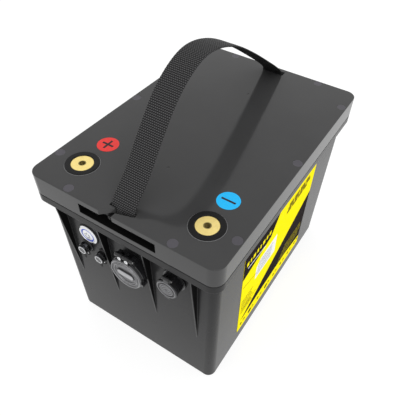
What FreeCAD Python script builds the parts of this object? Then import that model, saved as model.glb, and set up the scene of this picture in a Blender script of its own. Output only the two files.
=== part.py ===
"""Sealed battery pack with a carrying strap, two brass terminals and a front panel of sockets.

Millimetres. +Z is up, the front panel faces -Y, and the origin is the centre of the base face.
Every length below is a cell of the sheet "sizes"; other lengths are worked out from those cells.
Pieces of the front panel are drawn along their own +Z, outwards from the seat on the panel.
"""
import FreeCAD, Part
import math
import os
import re
import Sketcher
from FreeCAD import Rotation, Vector

SIZES = {
    # whole pack
    "pack_width": 250.0, "pack_depth": 365.0, "pack_height": 268.0,
    "lid_height": 29.0, "lip_height": 10.3, "side_inset": 7.2, "end_inset": 10.9,
    "wall": 3.2, "base_thickness": 4.0, "draft_angle": 0.72, "body_corner": 11.0,
    "lid_corner": 14.0, "lid_edge": 1.0, "lid_plate": 4.0, "lid_land": 2.5, "base_edge": 1.2,
    # stiffening fins under the lip, front and back
    "fin_pitch": 61.65, "fin_thickness": 2.0, "fin_drop": 133.0,
    # lid gasket, screws and plugs
    "seam_land": 2.0, "seam_bevel": 0.4, "seam_gap": 0.8, "gasket_thickness": 1.5, "gasket_margin": 0.5, "screw_radius": 1.95,
    "screw_side": 6.6, "screw_side_pitch": 138.5, "screw_end": 6.5, "screw_end_offset": 68.0,
    "screw_head_radius": 4.0, "screw_head_height": 3.0, "screw_grip": 8.0, "screw_reach": 7.5,
    "plug_radius": 5.65, "plug_thickness": 3.0, "fit_gap": 0.05,
    # strap, its slots and its rods
    "strap_width": 30.8, "strap_thickness": 2.2, "strap_rise": 118.0, "slot_depth": 3.6,
    "bar_thickness": 7.5, "recess_width": 101.2, "recess_height": 13.75, "recess_depth": 20.0,
    "recess_wall": 3.0, "slot_inset": 13.9, "rod_radius": 2.4, "rod_length": 48.0,
    "rod_drop": 13.0, "entry_gap": 20.5,
    # terminals and their badges
    "terminal_offset": 83.75, "terminal_inset": 43.75, "terminal_radius": 13.0,
    "terminal_rise": 0.7, "terminal_head": 8.7, "terminal_stem_radius": 8.0, "terminal_length": 28.0,
    "thread_radius": 3.4, "thread_depth": 18.0, "bush_flange": 19.75, "bush_radius": 15.5,
    "bush_rise": 1.4, "bush_sink": 0.4, "boss_radius": 21.0, "boss_depth": 12.0,
    "nut_flats": 24.0, "nut_thickness": 6.0, "washer_radius": 20.0, "washer_thickness": 2.0,
    "lug_thickness": 2.0, "lug_drop": 1.5, "o_ring_wire": 0.85,
    "badge_offset": 83.1, "badge_inset": 85.75, "badge_radius": 13.1, "badge_thickness": 0.6,
    "badge_sink": 0.5, "pip_radius": 1.6, "pip_depth": 0.4, "pip_front": 90.0, "pip_back": 94.0,
    # label on the right-hand side
    "label_front": 102.5, "label_length": 199.0, "label_bottom": 25.0, "label_top": 207.0,
    "label_lean": 9.0, "label_thickness": 0.3,
    # front panel: places, as offset from the centre plane and drop below the lid's top
    "seat_depth": 0.4, "button_offset": -60.5, "button_drop": 75.0,
    "left_socket_offset": -67.5, "right_socket_offset": -41.2, "socket_drop": 100.0,
    "charge_offset": 6.5, "charge_drop": 87.0, "aux_offset": 65.2, "aux_drop": 67.5,
    "panel_hole_gap": 0.2,
    # push button
    "bezel_radius": 13.75, "bezel_front": 3.25, "button_seal_radius": 14.8,
    "button_seal_thickness": 1.4, "button_barrel": 10.9, "button_length": 20.0,
    "light_radius": 9.75, "button_radius": 8.05, "button_front": 3.9, "button_travel": 1.8,
    "moving_gap": 0.3, "bellows_radius": 6.0, "bellows_fold": 1.4, "bellows_wall": 0.8,
    "bellows_back": 9.6, "bellows_length": 7.2,
    # signal sockets and their screw caps
    "socket_flange": 8.2, "socket_flange_front": 2.6, "socket_barrel": 5.9, "socket_front": 7.2,
    "socket_bore": 4.4, "socket_length": 14.0, "cap_skirt": 7.3, "cap_neck": 5.2, "cap_face": 6.1,
    "cap_front": 11.6, "cap_groove": 1.4, "cap_thread_gap": 0.08, "tether_drop": 16.0,
    "tether_width": 3.2, "tether_thickness": 1.0,
    # charging port with a hinged cap
    "charge_body": 22.3, "charge_body_front": 12.4, "charge_bore": 17.0, "charge_barrel": 18.0,
    "charge_length": 16.0, "charge_cap_radius": 21.7, "charge_cap_front": 16.2,
    "charge_hinge_rise": 28.5, "charge_hinge_out": 13.9, "charge_gasket": 1.0,
    # auxiliary port with a flip cap
    "aux_flange": 14.6, "aux_flange_front": 3.0, "aux_barrel_radius": 12.4, "aux_front": 13.6,
    "aux_bore": 9.6, "aux_rear": 10.6, "aux_length": 18.0, "aux_cap_radius": 13.3,
    "aux_cap_front": 17.2, "aux_hinge_rise": 16.4, "aux_hinge_out": 14.8, "aux_gasket": 0.8,
    "hinge_pin": 1.4, "knuckle_radius": 2.9, "knuckle_width": 4.4, "knuckle_place": 4.8,
    # cell block and electronics
    "port_space": 30.0, "block_clearance": 2.0, "end_plate": 6.0, "cell_gap": 1.0, "base_pad": 4.0,
    "headroom": 24.0, "electronics_space": 46.0, "side_clearance": 3.0, "cell_edge": 3.0,
    "stud_radius": 3.0, "stud_length": 10.0, "pole_height": 2.5, "pole_spread": 90.0,
    "bar_width": 20.0, "bar_height": 2.5, "band_width": 16.0, "band_thickness": 0.8,
    "board_thickness": 1.6, "board_length": 150.0, "board_height": 90.0, "sink_thickness": 16.0,
    "lead_radius": 4.5, "wire_radius": 2.0,
}

# Lengths that follow from the cells, written once and put into every expression that names them.
DERIVED = {
    "lid_bottom": "pack_height - lid_height",
    "lip_bottom": "lid_bottom - lip_height",
    "body_width": "pack_width - 2 * side_inset",
    "body_depth": "pack_depth - 2 * end_inset",
    "cavity_width": "body_width - 2 * wall",
    "cavity_depth": "body_depth - 2 * wall",
    "cavity_shrink": "(lid_bottom - base_thickness) * tan(draft_angle * 1 deg)",
    "cavity_floor_half_width": "cavity_width / 2 - cavity_shrink",
    "cavity_floor_half_depth": "cavity_depth / 2 - cavity_shrink",
    "recess_top": "pack_height - bar_thickness",
    "slot_y": "pack_depth / 2 - slot_inset",
    "rod_y": "slot_y + rod_radius + moving_gap + strap_thickness / 2",
    "rod_z": "pack_height - rod_drop",
    "terminal_y": "pack_depth / 2 - terminal_inset",
    "badge_y": "pack_depth / 2 - badge_inset",
    "block_front": "port_space - cavity_floor_half_depth",
    "block_back": "cavity_floor_half_depth - block_clearance",
    "cell_pitch": "(block_back - block_front - 2 * end_plate) / 4",
    "cell_thickness": "cell_pitch - cell_gap",
    "cell_width": "2 * cavity_floor_half_width - electronics_space - side_clearance",
    "cell_left": "side_clearance - cavity_floor_half_width",
    "cell_right": "cell_left + cell_width",
    "cell_middle": "cell_left + cell_width / 2",
    "cell_bottom": "base_thickness + base_pad",
    "cell_height": "lid_bottom - cell_bottom - headroom",
    "cell_top": "cell_bottom + cell_height",
    "bar_bottom": "cell_top + pole_height",
    "bar_top": "bar_bottom + bar_height",
    "lug_bottom": "pack_height - boss_depth - washer_thickness - nut_thickness - lug_thickness",
}

UPRIGHT = Rotation()
OUTWARD = Rotation(Vector(1, 0, 0), 90)      # a piece's own +Z points out of the front panel
ALONG_X = Rotation(Vector(0, 1, 0), 90)
ALONG_Y = Rotation(Vector(1, 0, 0), -90)

doc = FreeCAD.newDocument("BatteryPack")
sizes = doc.addObject("Spreadsheet::Sheet", "sizes")
for row, (alias, number) in enumerate(SIZES.items(), start=1):
    sizes.set(f"A{row}", alias)
    sizes.set(f"B{row}", str(number))
    sizes.setAlias(f"B{row}", alias)
doc.recompute()
nodes = {}


def spelled(text):
    """Write an expression with its derived names replaced by the cells that they come from."""
    def replace(match):
        word = match.group()
        return "(" + spelled(DERIVED[word]) + ")" if word in DERIVED else word
    return re.sub(r"[a-z_]+[a-z_0-9]*", replace, str(text))


def linked(text):
    """Turn an expression into one that other objects can use."""
    def replace(match):
        word = match.group()
        return "sizes." + word if word in SIZES else word
    return re.sub(r"[a-z_]+[a-z_0-9]*", replace, spelled(text))


def size(text):
    """Work an expression out as a number."""
    answer = sizes.evalExpression(spelled(text))
    return float(getattr(answer, "Value", answer))


def bind(item, **properties):
    for name, text in properties.items():
        item.setExpression(name, linked(text))


def place(item, at, turn=UPRIGHT):
    """Put an item at three expressions, turned by a fixed rotation."""
    item.Placement = FreeCAD.Placement(Vector(*[size(text) for text in at]), turn)
    for axis, text in zip("xyz", at):
        item.setExpression(f".Placement.Base.{axis}", linked(text))
    return item


def box(at, extent, name="Block", turn=UPRIGHT):
    """A block from its lowest corner and its extent."""
    item = doc.addObject("Part::Box", name)
    bind(item, Length=extent[0], Width=extent[1], Height=extent[2])
    return place(item, at, turn)


def cylinder(radius, height, at, turn=UPRIGHT, name="Round"):
    item = doc.addObject("Part::Cylinder", name)
    bind(item, Radius=radius, Height=height)
    return place(item, at, turn)


def prism(flats, height, at, turn=UPRIGHT, name="Hexagon"):
    """A hexagonal bar, measured across its flats."""
    item = doc.addObject("Part::Prism", name)
    item.Polygon = 6
    bind(item, Circumradius=f"({flats}) / sqrt(3)", Height=height)
    return place(item, at, turn)


def cut(base, *tools, name="Cut"):
    item = doc.addObject("Part::Cut", name)
    item.Base = base
    item.Tool = tools[0] if len(tools) == 1 else group(*tools)
    return item


def fuse(*parts, name="Fusion"):
    item = doc.addObject("Part::MultiFuse", name)
    item.Shapes = list(parts)
    return item


def group(*parts, name="Group"):
    item = doc.addObject("Part::Compound", name)
    item.Links = list(parts)
    return item


def copy_at(source, at, turn=UPRIGHT):
    item = doc.addObject("App::Link", source.Name + "Copy")
    item.LinkedObject = source
    item.Placement = FreeCAD.Placement(Vector(*[size(text) for text in at]), turn)
    for axis, text in zip("xyz", at):
        item.setExpression(f".Placement.Base.{axis}", linked(text))
    return item


def mirror(source, normal, name="Mirror"):
    item = doc.addObject("Part::Mirroring", name)
    item.Source = source
    item.Normal = Vector(*normal)
    return item


def node(name, item):
    """Keep an item as a finished piece under this name."""
    item.Label = name
    nodes[name] = item
    return item


def outline(body, role, corners, height="0"):
    """A closed sketch with straight sides on one of the body's planes, each corner bound to the sheet."""
    plane = next(item for item in body.Origin.OriginFeatures if item.Role == role)
    sketch = body.newObject("Sketcher::SketchObject", "Outline")
    sketch.AttachmentSupport = (plane, [""])
    sketch.MapMode = "FlatFace"
    sketch.setExpression(".AttachmentOffset.Base.z", linked(height))
    points = [(size(across), size(up)) for across, up in corners]
    for start, end in zip(points, points[1:] + points[:1]):
        sketch.addGeometry(Part.LineSegment(Vector(*start, 0), Vector(*end, 0)), False)
    for index, (corner, point) in enumerate(zip(corners, points)):
        sketch.addConstraint(Sketcher.Constraint("Coincident", index, 2, (index + 1) % len(points), 1))
        for kind, text, number in zip(("DistanceX", "DistanceY"), corner, point):
            row = sketch.addConstraint(Sketcher.Constraint(kind, -1, 1, index, 1, number))
            sketch.setExpression(f"Constraints[{row}]", linked(text))
    return sketch


def turned(profile, at=("0", "0", "0"), turn=UPRIGHT, name="Turned"):
    """A body turned about its own Z from (radius, height) corners."""
    body = doc.addObject("PartDesign::Body", name)
    sketch = outline(body, "XZ_Plane", profile)
    revolution = body.newObject("PartDesign::Revolution", "Revolution")
    revolution.Profile = sketch
    revolution.ReferenceAxis = (sketch, ["V_Axis"])
    revolution.Angle = 360
    return place(body, at, turn)


def plate(corners, thickness, at=("0", "0", "0"), turn=UPRIGHT, name="Plate"):
    """A body of even thickness along its own Z from flat corners."""
    body = doc.addObject("PartDesign::Body", name)
    sketch = outline(body, "XY_Plane", corners)
    pad = body.newObject("PartDesign::Pad", "Pad")
    pad.Profile = sketch
    bind(pad, Length=thickness)
    return place(body, at, turn)


def rectangle(width, depth):
    half_width, half_depth = f"({width}) / 2", f"({depth}) / 2"
    return [(f"-{half_width}", f"-{half_depth}"), (half_width, f"-{half_depth}"),
            (half_width, half_depth), (f"-{half_width}", half_depth)]


def upright_edges(shape, low, high):
    """Names of the near-vertical straight edges between two heights."""
    found = []
    for index, edge in enumerate(shape.Edges, start=1):
        rise = edge.BoundBox.ZLength
        if rise > 0.99 * edge.Length and edge.BoundBox.ZMin > low - 0.1 and edge.BoundBox.ZMax < high + 0.1:
            found.append(f"Edge{index}")
    return found


def level_edges(shape, height):
    """Names of the edges that lie at one height."""
    return [f"Edge{index}" for index, edge in enumerate(shape.Edges, start=1)
            if abs(edge.BoundBox.ZMin - height) < 0.01 and abs(edge.BoundBox.ZMax - height) < 0.01]


def rounded(body, feature, edges, radius):
    """Round named edges of a feature's shape."""
    fillet = body.newObject("PartDesign::Fillet", "Rounding")
    fillet.Base = (feature, edges)
    bind(fillet, Radius=radius)
    doc.recompute()
    return fillet


def rounded_plate(width, depth, thickness, corner, at=("0", "0", "0"), name="RoundedPlate"):
    """A level plate with rounded corners."""
    body = plate(rectangle(width, depth), thickness, at, name=name)
    doc.recompute()
    pad = body.Tip
    rounded(body, pad, upright_edges(pad.Shape, 0, size(thickness)), corner)
    return body


def bevelled(body, feature, edges, width):
    """Take a narrow bevel off named edges of a feature's shape."""
    chamfer = body.newObject("PartDesign::Chamfer", "Bevel")
    chamfer.Base = (feature, edges)
    bind(chamfer, Size=width)
    doc.recompute()
    return chamfer


def tangent_wire(points):
    """Straight runs joined by tangent arcs, each as large as its two runs allow."""
    edges, radii, start = [], [], points[0]
    for before, corner, after in zip(points, points[1:], points[2:]):
        back, ahead = before - corner, after - corner
        half_turn = (math.pi - back.getAngle(ahead)) / 2
        radius = 0.45 * min(back.Length, ahead.Length) / math.tan(half_turn)
        setback = radius * math.tan(half_turn)
        first = corner + Vector(back).normalize() * setback
        last = corner + Vector(ahead).normalize() * setback
        bisector = (Vector(back).normalize() + Vector(ahead).normalize()).normalize()
        middle = corner + bisector * (radius / math.cos(half_turn) - radius)
        edges += [Part.LineSegment(start, first).toShape(), Part.Arc(first, middle, last).toShape()]
        radii.append(round(radius, 1))
        start = last
    edges.append(Part.LineSegment(start, points[-1]).toShape())
    return Part.Wire(edges), radii


def cable(name, radius, route):
    """A round cable along a route of points; each point is three expressions."""
    points = [Vector(*[size(text) for text in point]) for point in route]
    path, radii = tangent_wire(points)
    end = Part.Wire(Part.makeCircle(size(radius), points[0], points[1] - points[0]))
    item = doc.addObject("Part::Feature", "Cable")
    item.Shape = path.makePipeShell([end], True, False)
    print(name, "bend radii", radii)
    return item


def case_and_lid_places():
    """The ten lid screws, clockwise from the front left corner of the pack."""
    side, end = "(pack_width / 2 - screw_side)", "(pack_depth / 2 - screw_end)"
    places = [(f"{sign} * {side}", f"{step} * screw_side_pitch") for sign in (-1, 1) for step in (-1, 0, 1)]
    places += [(f"{sign} * screw_end_offset", f"{step} * {end}") for sign in (-1, 1) for step in (-1, 1)]
    return places


def seat(drop):
    """Where a spot face lies on the drafted front panel, at a drop below the lid's top."""
    below_lip = f"(lip_bottom - pack_height + {drop})"
    return f"-body_depth / 2 + {below_lip} * tan(draft_angle * 1 deg) + seat_depth"


def on_panel(offset, drop):
    return (offset, seat(drop), f"pack_height - {drop}")


PANEL_HOLES = [
    # offset, drop, hole radius, spot face radius
    ("button_offset", "button_drop", "button_barrel", "button_seal_radius"),
    ("left_socket_offset", "socket_drop", "socket_barrel", "socket_flange"),
    ("right_socket_offset", "socket_drop", "socket_barrel", "socket_flange"),
    ("charge_offset", "charge_drop", "charge_barrel", "charge_body"),
    ("aux_offset", "aux_drop", "aux_rear", "aux_flange"),
]


def make_case():
    body = doc.addObject("PartDesign::Body", "CaseBody")
    walls = body.newObject("PartDesign::Pad", "Walls")
    walls.Profile = outline(body, "XY_Plane", rectangle("body_width", "body_depth"), "lip_bottom")
    walls.Reversed = True
    bind(walls, Length="lip_bottom", TaperAngle="-draft_angle")
    doc.recompute()
    corners = rounded(body, walls, upright_edges(walls.Shape, 0, size("lip_bottom")), "body_corner")
    base = rounded(body, corners, level_edges(corners.Shape, 0), "base_edge")
    lip = body.newObject("PartDesign::Pad", "Lip")
    lip.Profile = outline(body, "XY_Plane", rectangle("pack_width", "pack_depth"), "lip_bottom")
    bind(lip, Length="lip_height")
    doc.recompute()
    lip_edges = upright_edges(lip.Shape, size("lip_bottom"), size("lid_bottom"))
    lip_round = rounded(body, lip, lip_edges, "lid_corner")
    lip_round = bevelled(body, lip_round, level_edges(lip_round.Shape, size("lid_bottom")), "seam_bevel")
    cavity = body.newObject("PartDesign::Pocket", "Cavity")
    cavity.Profile = outline(body, "XY_Plane", rectangle("cavity_width", "cavity_depth"), "lid_bottom")
    bind(cavity, Length="lid_bottom - base_thickness", TaperAngle="-draft_angle")
    doc.recompute()
    if not cavity.Shape.Volume < 0.5 * lip_round.Shape.Volume or base.Shape.Volume <= 0:
        raise RuntimeError("the cavity was not cut")
    inner = [name for name in upright_edges(cavity.Shape, size("base_thickness"), size("lid_bottom"))
             if cavity.Shape.getElement(name).BoundBox.ZLength > size("lip_bottom / 2")]
    rounded(body, cavity, inner, "body_corner - wall")

    # A fin is a triangle under the lip; its heel reaches into the wall.
    heel = "body_depth / 2 - wall / 2"
    fin = plate([("pack_depth / 2", "lip_bottom"), (heel, "lip_bottom"), (heel, "lip_bottom - fin_drop")],
                "fin_thickness", ("0", "0", "0"), Rotation(Vector(1, 1, 1), 120), "Fin")
    fins = []
    for step in (-1.5, -0.5, 0.5, 1.5):
        fins.append(copy_at(fin, (f"{step} * fin_pitch - fin_thickness / 2", "0", "0"),
                            Rotation(Vector(1, 1, 1), 120)))
    back_fins = group(*fins)
    front_fins = mirror(back_fins, (0, 1, 0))
    solid = fuse(body, back_fins, front_fins, name="CaseSolid")

    holes = []
    for offset, drop, hole, spot in PANEL_HOLES:
        holes.append(cylinder(f"{hole} + panel_hole_gap", "4 * wall",
                              (offset, f"{seat(drop)} + 2 * wall", f"pack_height - {drop}"), OUTWARD))
        holes.append(cylinder(f"{spot} + panel_hole_gap", "2 * end_inset", on_panel(offset, drop), OUTWARD))
    for across, along in case_and_lid_places():
        holes.append(cylinder("screw_radius + fit_gap", "screw_reach + 1",
                              (across, along, "lid_bottom - screw_reach - 1")))
    node("case_shell", cut(solid, *holes))


def slot_outline(entry):
    """The strap slot through the bar; the front one has a slanted entry for the strap's edge."""
    half = "strap_width / 2 + 1.2"
    inner, outer = "slot_y - slot_depth / 2 - 1", "pack_depth / 2 - 7"
    if not entry:
        return [(f"-({half})", f"-({outer})"), (half, f"-({outer})"), (half, f"-({inner})"),
                (f"-({half})", f"-({inner})")]
    edge = "pack_depth / 2 + 1"
    return [("-entry_gap - 2", f"-({edge})"), ("-3.5", f"-({edge})"), ("-3.3", f"-({outer} + 1)"),
            (half, "-slot_y - slot_depth / 2"), (half, f"-({inner})"), (f"-({half})", f"-({inner})"),
            (f"-({half})", "-slot_y - slot_depth / 2"), ("-8", "-slot_y - slot_depth / 2")]


def make_lid():
    body = doc.addObject("PartDesign::Body", "LidBody")
    block = body.newObject("PartDesign::Pad", "Block")
    block.Profile = outline(body, "XY_Plane", rectangle("pack_width", "pack_depth"), "lid_bottom + seam_gap")
    bind(block, Length="lid_height - seam_gap")
    doc.recompute()
    corners = rounded(body, block, upright_edges(block.Shape, size("lid_bottom"), size("pack_height")),
                      "lid_corner")
    top = rounded(body, corners, level_edges(corners.Shape, size("pack_height")), "lid_edge")
    top = bevelled(body, top, level_edges(top.Shape, size("lid_bottom + seam_gap")), "seam_bevel")
    cavity = body.newObject("PartDesign::Pocket", "Cavity")
    cavity.Profile = outline(body, "XY_Plane", rectangle("cavity_width - 2 * lid_land",
                                                         "cavity_depth - 2 * lid_land"), "lid_bottom")
    cavity.Reversed = True
    bind(cavity, Length="lid_height - lid_plate")
    doc.recompute()
    if not cavity.Shape.Volume < 0.6 * top.Shape.Volume:
        raise RuntimeError("the lid was not hollowed")

    parts, tools = [body], []
    housing_width, housing_depth = "recess_width + 2 * recess_wall", "recess_depth + recess_wall"
    housing_height = "bar_thickness - lid_plate + recess_height + recess_wall"
    recess_bottom = "recess_top - recess_height"
    for side in (-1, 1):
        outer = "pack_depth / 2 - lid_plate" if side > 0 else "-pack_depth / 2 + lid_plate"
        near = f"{outer} - ({housing_depth}) + lid_plate" if side > 0 else outer
        parts.append(box((f"-({housing_width}) / 2", near, f"{recess_bottom} - recess_wall"),
                         (housing_width, f"{housing_depth} - lid_plate", housing_height)))
        start = "pack_depth / 2 - recess_depth" if side > 0 else "-pack_depth / 2 - 5"
        tools.append(box(("-recess_width / 2", start, recess_bottom),
                         ("recess_width", "recess_depth + 5", "recess_height")))
    place_below = ("0", "0", "pack_height - bar_thickness - 1")
    tools.append(plate(slot_outline(True), "bar_thickness + 3", place_below, name="FrontSlot"))
    tools.append(plate(slot_outline(False), "bar_thickness + 3", place_below, Rotation(180, 0, 0), "BackSlot"))

    for sign in (-1, 1):
        terminal = (f"{sign} * terminal_offset", "-terminal_y")
        parts.append(cylinder("boss_radius", "boss_depth - lid_plate + 1",
                              (*terminal, "pack_height - boss_depth")))
        tools.append(cylinder("bush_radius + fit_gap", "2 * boss_depth", (*terminal, "pack_height - boss_depth - 1")))
        tools.append(cylinder("bush_flange + fit_gap", "bush_sink + 1", (*terminal, "pack_height - bush_sink")))
        tools.append(cylinder("badge_radius + fit_gap", "badge_sink + 1",
                              (f"{sign} * badge_offset", "-badge_y", "pack_height - badge_sink")))
    for along in ("-pip_front", "pip_back"):
        tools.append(cylinder("pip_radius", "pip_depth + 1", ("0", along, "pack_height - pip_depth")))
    tools.append(rounded_plate("pack_width - 2 * seam_land + 0.2", "pack_depth - 2 * seam_land + 0.2",
                               "gasket_thickness + 1", "lid_corner - seam_land + 0.1",
                               ("0", "0", "lid_bottom - 1"), "Rabbet"))
    for across, along in case_and_lid_places():
        tools.append(cylinder("screw_radius + moving_gap", "lid_height", (across, along, "lid_bottom - 1")))
        tools.append(cylinder("screw_head_radius + moving_gap", "lid_height",
                              (across, along, "lid_bottom + gasket_thickness + screw_grip")))
        tools.append(cylinder("plug_radius + fit_gap", "plug_thickness + 1",
                              (across, along, "pack_height - plug_thickness")))
    node("lid", cut(fuse(*parts, name="LidSolid"), *tools))

    ring = cut(rounded_plate("pack_width - 2 * seam_land", "pack_depth - 2 * seam_land", "gasket_thickness",
                             "lid_corner - seam_land"),
               plate(rectangle("cavity_width + 2 * gasket_margin", "cavity_depth + 2 * gasket_margin"),
                     "gasket_thickness + 2", ("0", "0", "-1")))
    holes = [cylinder("screw_radius + moving_gap", "gasket_thickness + 2", (across, along, "-1"))
             for across, along in case_and_lid_places()]
    node("lid_gasket", place(cut(ring, *holes), ("0", "0", "lid_bottom")))


def make_lid_fasteners():
    head_bottom = "lid_bottom + gasket_thickness + screw_grip"
    grip = "gasket_thickness + screw_grip + screw_reach"
    screw = turned([("0", "0"), ("screw_radius", "0"), ("screw_radius", grip),
                    ("screw_head_radius", grip), ("screw_head_radius", f"{grip} + screw_head_height"),
                    ("0", f"{grip} + screw_head_height")], name="Screw")
    plug = turned([("0", "0"), ("plug_radius - 0.4", "0"), ("plug_radius", "0.4"),
                   ("plug_radius", "plug_thickness"), ("0", "plug_thickness")], name="Plug")
    screws, plugs = [], []
    for across, along in case_and_lid_places():
        screws.append(copy_at(screw, (across, along, f"{head_bottom} - ({grip})")))
        plugs.append(copy_at(plug, (across, along, "pack_height - plug_thickness")))
    node("lid_screws", group(*screws))
    node("screw_plugs", group(*plugs))


def make_strap():
    """The strap rises from the front slot, arches over the lid and ends in a loop round each rod."""
    top, front, back = size("pack_height"), -size("slot_y"), size("slot_y")
    half_loop = size("rod_radius + moving_gap + strap_thickness / 2")
    rod_z, rise = size("rod_z"), size("strap_rise")
    # Crown of the arch: distance along the pack as a share of the span, height as a share of the rise.
    arch = [(0.0, 0.04), (0.075, 0.22), (0.155, 0.52), (0.235, 0.79), (0.33, 0.968), (0.43, 1.008),
            (0.56, 0.888), (0.684, 0.674), (0.832, 0.383), (0.951, 0.141), (1.0, 0.017)]
    points = [Vector(0, front - 2 * half_loop, rod_z + half_loop),
              Vector(0, front - 2 * half_loop, rod_z - half_loop),
              Vector(0, front, rod_z - half_loop)]
    points += [Vector(0, front + (back - front) * share, top + rise * height) for share, height in arch]
    points += [Vector(0, back, rod_z - half_loop),
               Vector(0, back + 2 * half_loop, rod_z - half_loop),
               Vector(0, back + 2 * half_loop, rod_z + half_loop)]
    path, radii = tangent_wire(points)
    half_width, half_thickness = size("strap_width / 2"), size("strap_thickness / 2")
    start = points[0]
    rim = [start + Vector(across, along, 0)
           for across, along in ((-half_width, -half_thickness), (half_width, -half_thickness),
                                 (half_width, half_thickness), (-half_width, half_thickness))]
    strap = doc.addObject("Part::Feature", "Strap")
    strap.Shape = path.makePipeShell([Part.makePolygon(rim + rim[:1])], True, False)
    print("carry_strap length", round(path.Length, 1), "bend radii", radii)
    node("carry_strap", strap)
    rods = [cylinder("rod_radius", "rod_length", ("-rod_length / 2", f"{sign} * rod_y", "rod_z"), ALONG_X)
            for sign in (-1, 1)]
    node("strap_rods", group(*rods))


def make_terminal(name, side):
    """A brass terminal in its bush, with the badge behind it; side is -1 on the left, 1 on the right."""
    at = (f"{side} * terminal_offset", "-terminal_y", "pack_height")
    gap = "fit_gap"
    groove_z, wire = "-boss_depth + 3", "o_ring_wire"
    bush = turned([
        (f"terminal_stem_radius + {gap}", "-boss_depth"), ("bush_radius", "-boss_depth"),
        ("bush_radius", f"{groove_z} - {wire}"), (f"bush_radius - 2 * {wire}", f"{groove_z} - {wire}"),
        (f"bush_radius - 2 * {wire}", f"{groove_z} + {wire}"), ("bush_radius", f"{groove_z} + {wire}"),
        ("bush_radius", "-bush_sink"), ("bush_flange", "-bush_sink"),
        ("bush_flange", "bush_rise - 0.6"), ("bush_flange - 0.6", "bush_rise"),
        ("terminal_radius + 0.7", "bush_rise"), (f"terminal_radius + {gap}", "bush_rise - 0.5"),
        (f"terminal_radius + {gap}", "terminal_rise - terminal_head"),
        (f"terminal_stem_radius + {gap}", "terminal_rise - terminal_head")], at, name="Bush")
    node(f"terminal_bush_{name}", bush)
    post = turned([
        ("0", "-terminal_length"), ("terminal_stem_radius", "-terminal_length"),
        ("terminal_stem_radius", "terminal_rise - terminal_head"),
        ("terminal_radius", "terminal_rise - terminal_head"), ("terminal_radius", "terminal_rise - 0.4"),
        ("terminal_radius - 0.4", "terminal_rise"), ("thread_radius", "terminal_rise"),
        ("thread_radius", "terminal_rise - thread_depth"),
        ("0", "terminal_rise - thread_depth - thread_radius / 2")], at, name="Post")
    node(f"terminal_{name}", post)
    badge = cylinder("badge_radius", "badge_thickness",
                     (f"{side} * badge_offset", "-badge_y", "pack_height - badge_sink"))
    node(f"polarity_badge_{name}", badge)

    ring = doc.addObject("Part::Torus", "SealRing")
    bind(ring, Radius1=f"bush_radius - {wire} - 0.02", Radius2=f"{wire} - 0.02")
    place(ring, (at[0], at[1], f"pack_height + ({groove_z})"))
    washer_bottom = "pack_height - boss_depth - washer_thickness"
    washer = cut(cylinder("washer_radius", "washer_thickness", (at[0], at[1], washer_bottom)),
                 cylinder(f"terminal_stem_radius + {gap}", "3 * washer_thickness",
                          (at[0], at[1], f"{washer_bottom} - washer_thickness")))
    nuts = []
    for bottom in (f"{washer_bottom} - nut_thickness", "lug_bottom - nut_thickness"):
        nuts.append(cut(prism("nut_flats", "nut_thickness", (at[0], at[1], bottom)),
                        cylinder(f"terminal_stem_radius + {gap}", "nut_thickness + 2",
                                 (at[0], at[1], f"{bottom} - 1"))))
    return ring, washer, nuts


def make_terminals():
    seals, washers, nuts = [], [], []
    for name, side in (("positive", -1), ("negative", 1)):
        ring, washer, pair = make_terminal(name, side)
        seals.append(ring)
        washers.append(washer)
        nuts += pair
    node("terminal_seals", group(*seals))
    node("terminal_washers", group(*washers))
    node("terminal_nuts", group(*nuts))


def make_label():
    """A thin sheet on the drafted right-hand wall; its two ends lean a little."""
    slope = math.degrees(math.atan(math.tan(math.radians(size("draft_angle")))))
    wall_x = "body_width / 2 - (lip_bottom - label_bottom) * tan(draft_angle * 1 deg)"
    rise = "(label_top - label_bottom) / cos(draft_angle * 1 deg)"
    label = plate([("-label_front", "0"), ("label_length - label_front", "0"),
                   ("label_length - label_front - label_lean", rise), ("-label_front - label_lean", rise)],
                  "label_thickness", (f"{wall_x} + 0.02", "0", "label_bottom"),
                  Rotation(Vector(0, 1, 0), slope) * Rotation(Vector(1, 1, 1), 120), "Label")
    node("side_label", label)


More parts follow.
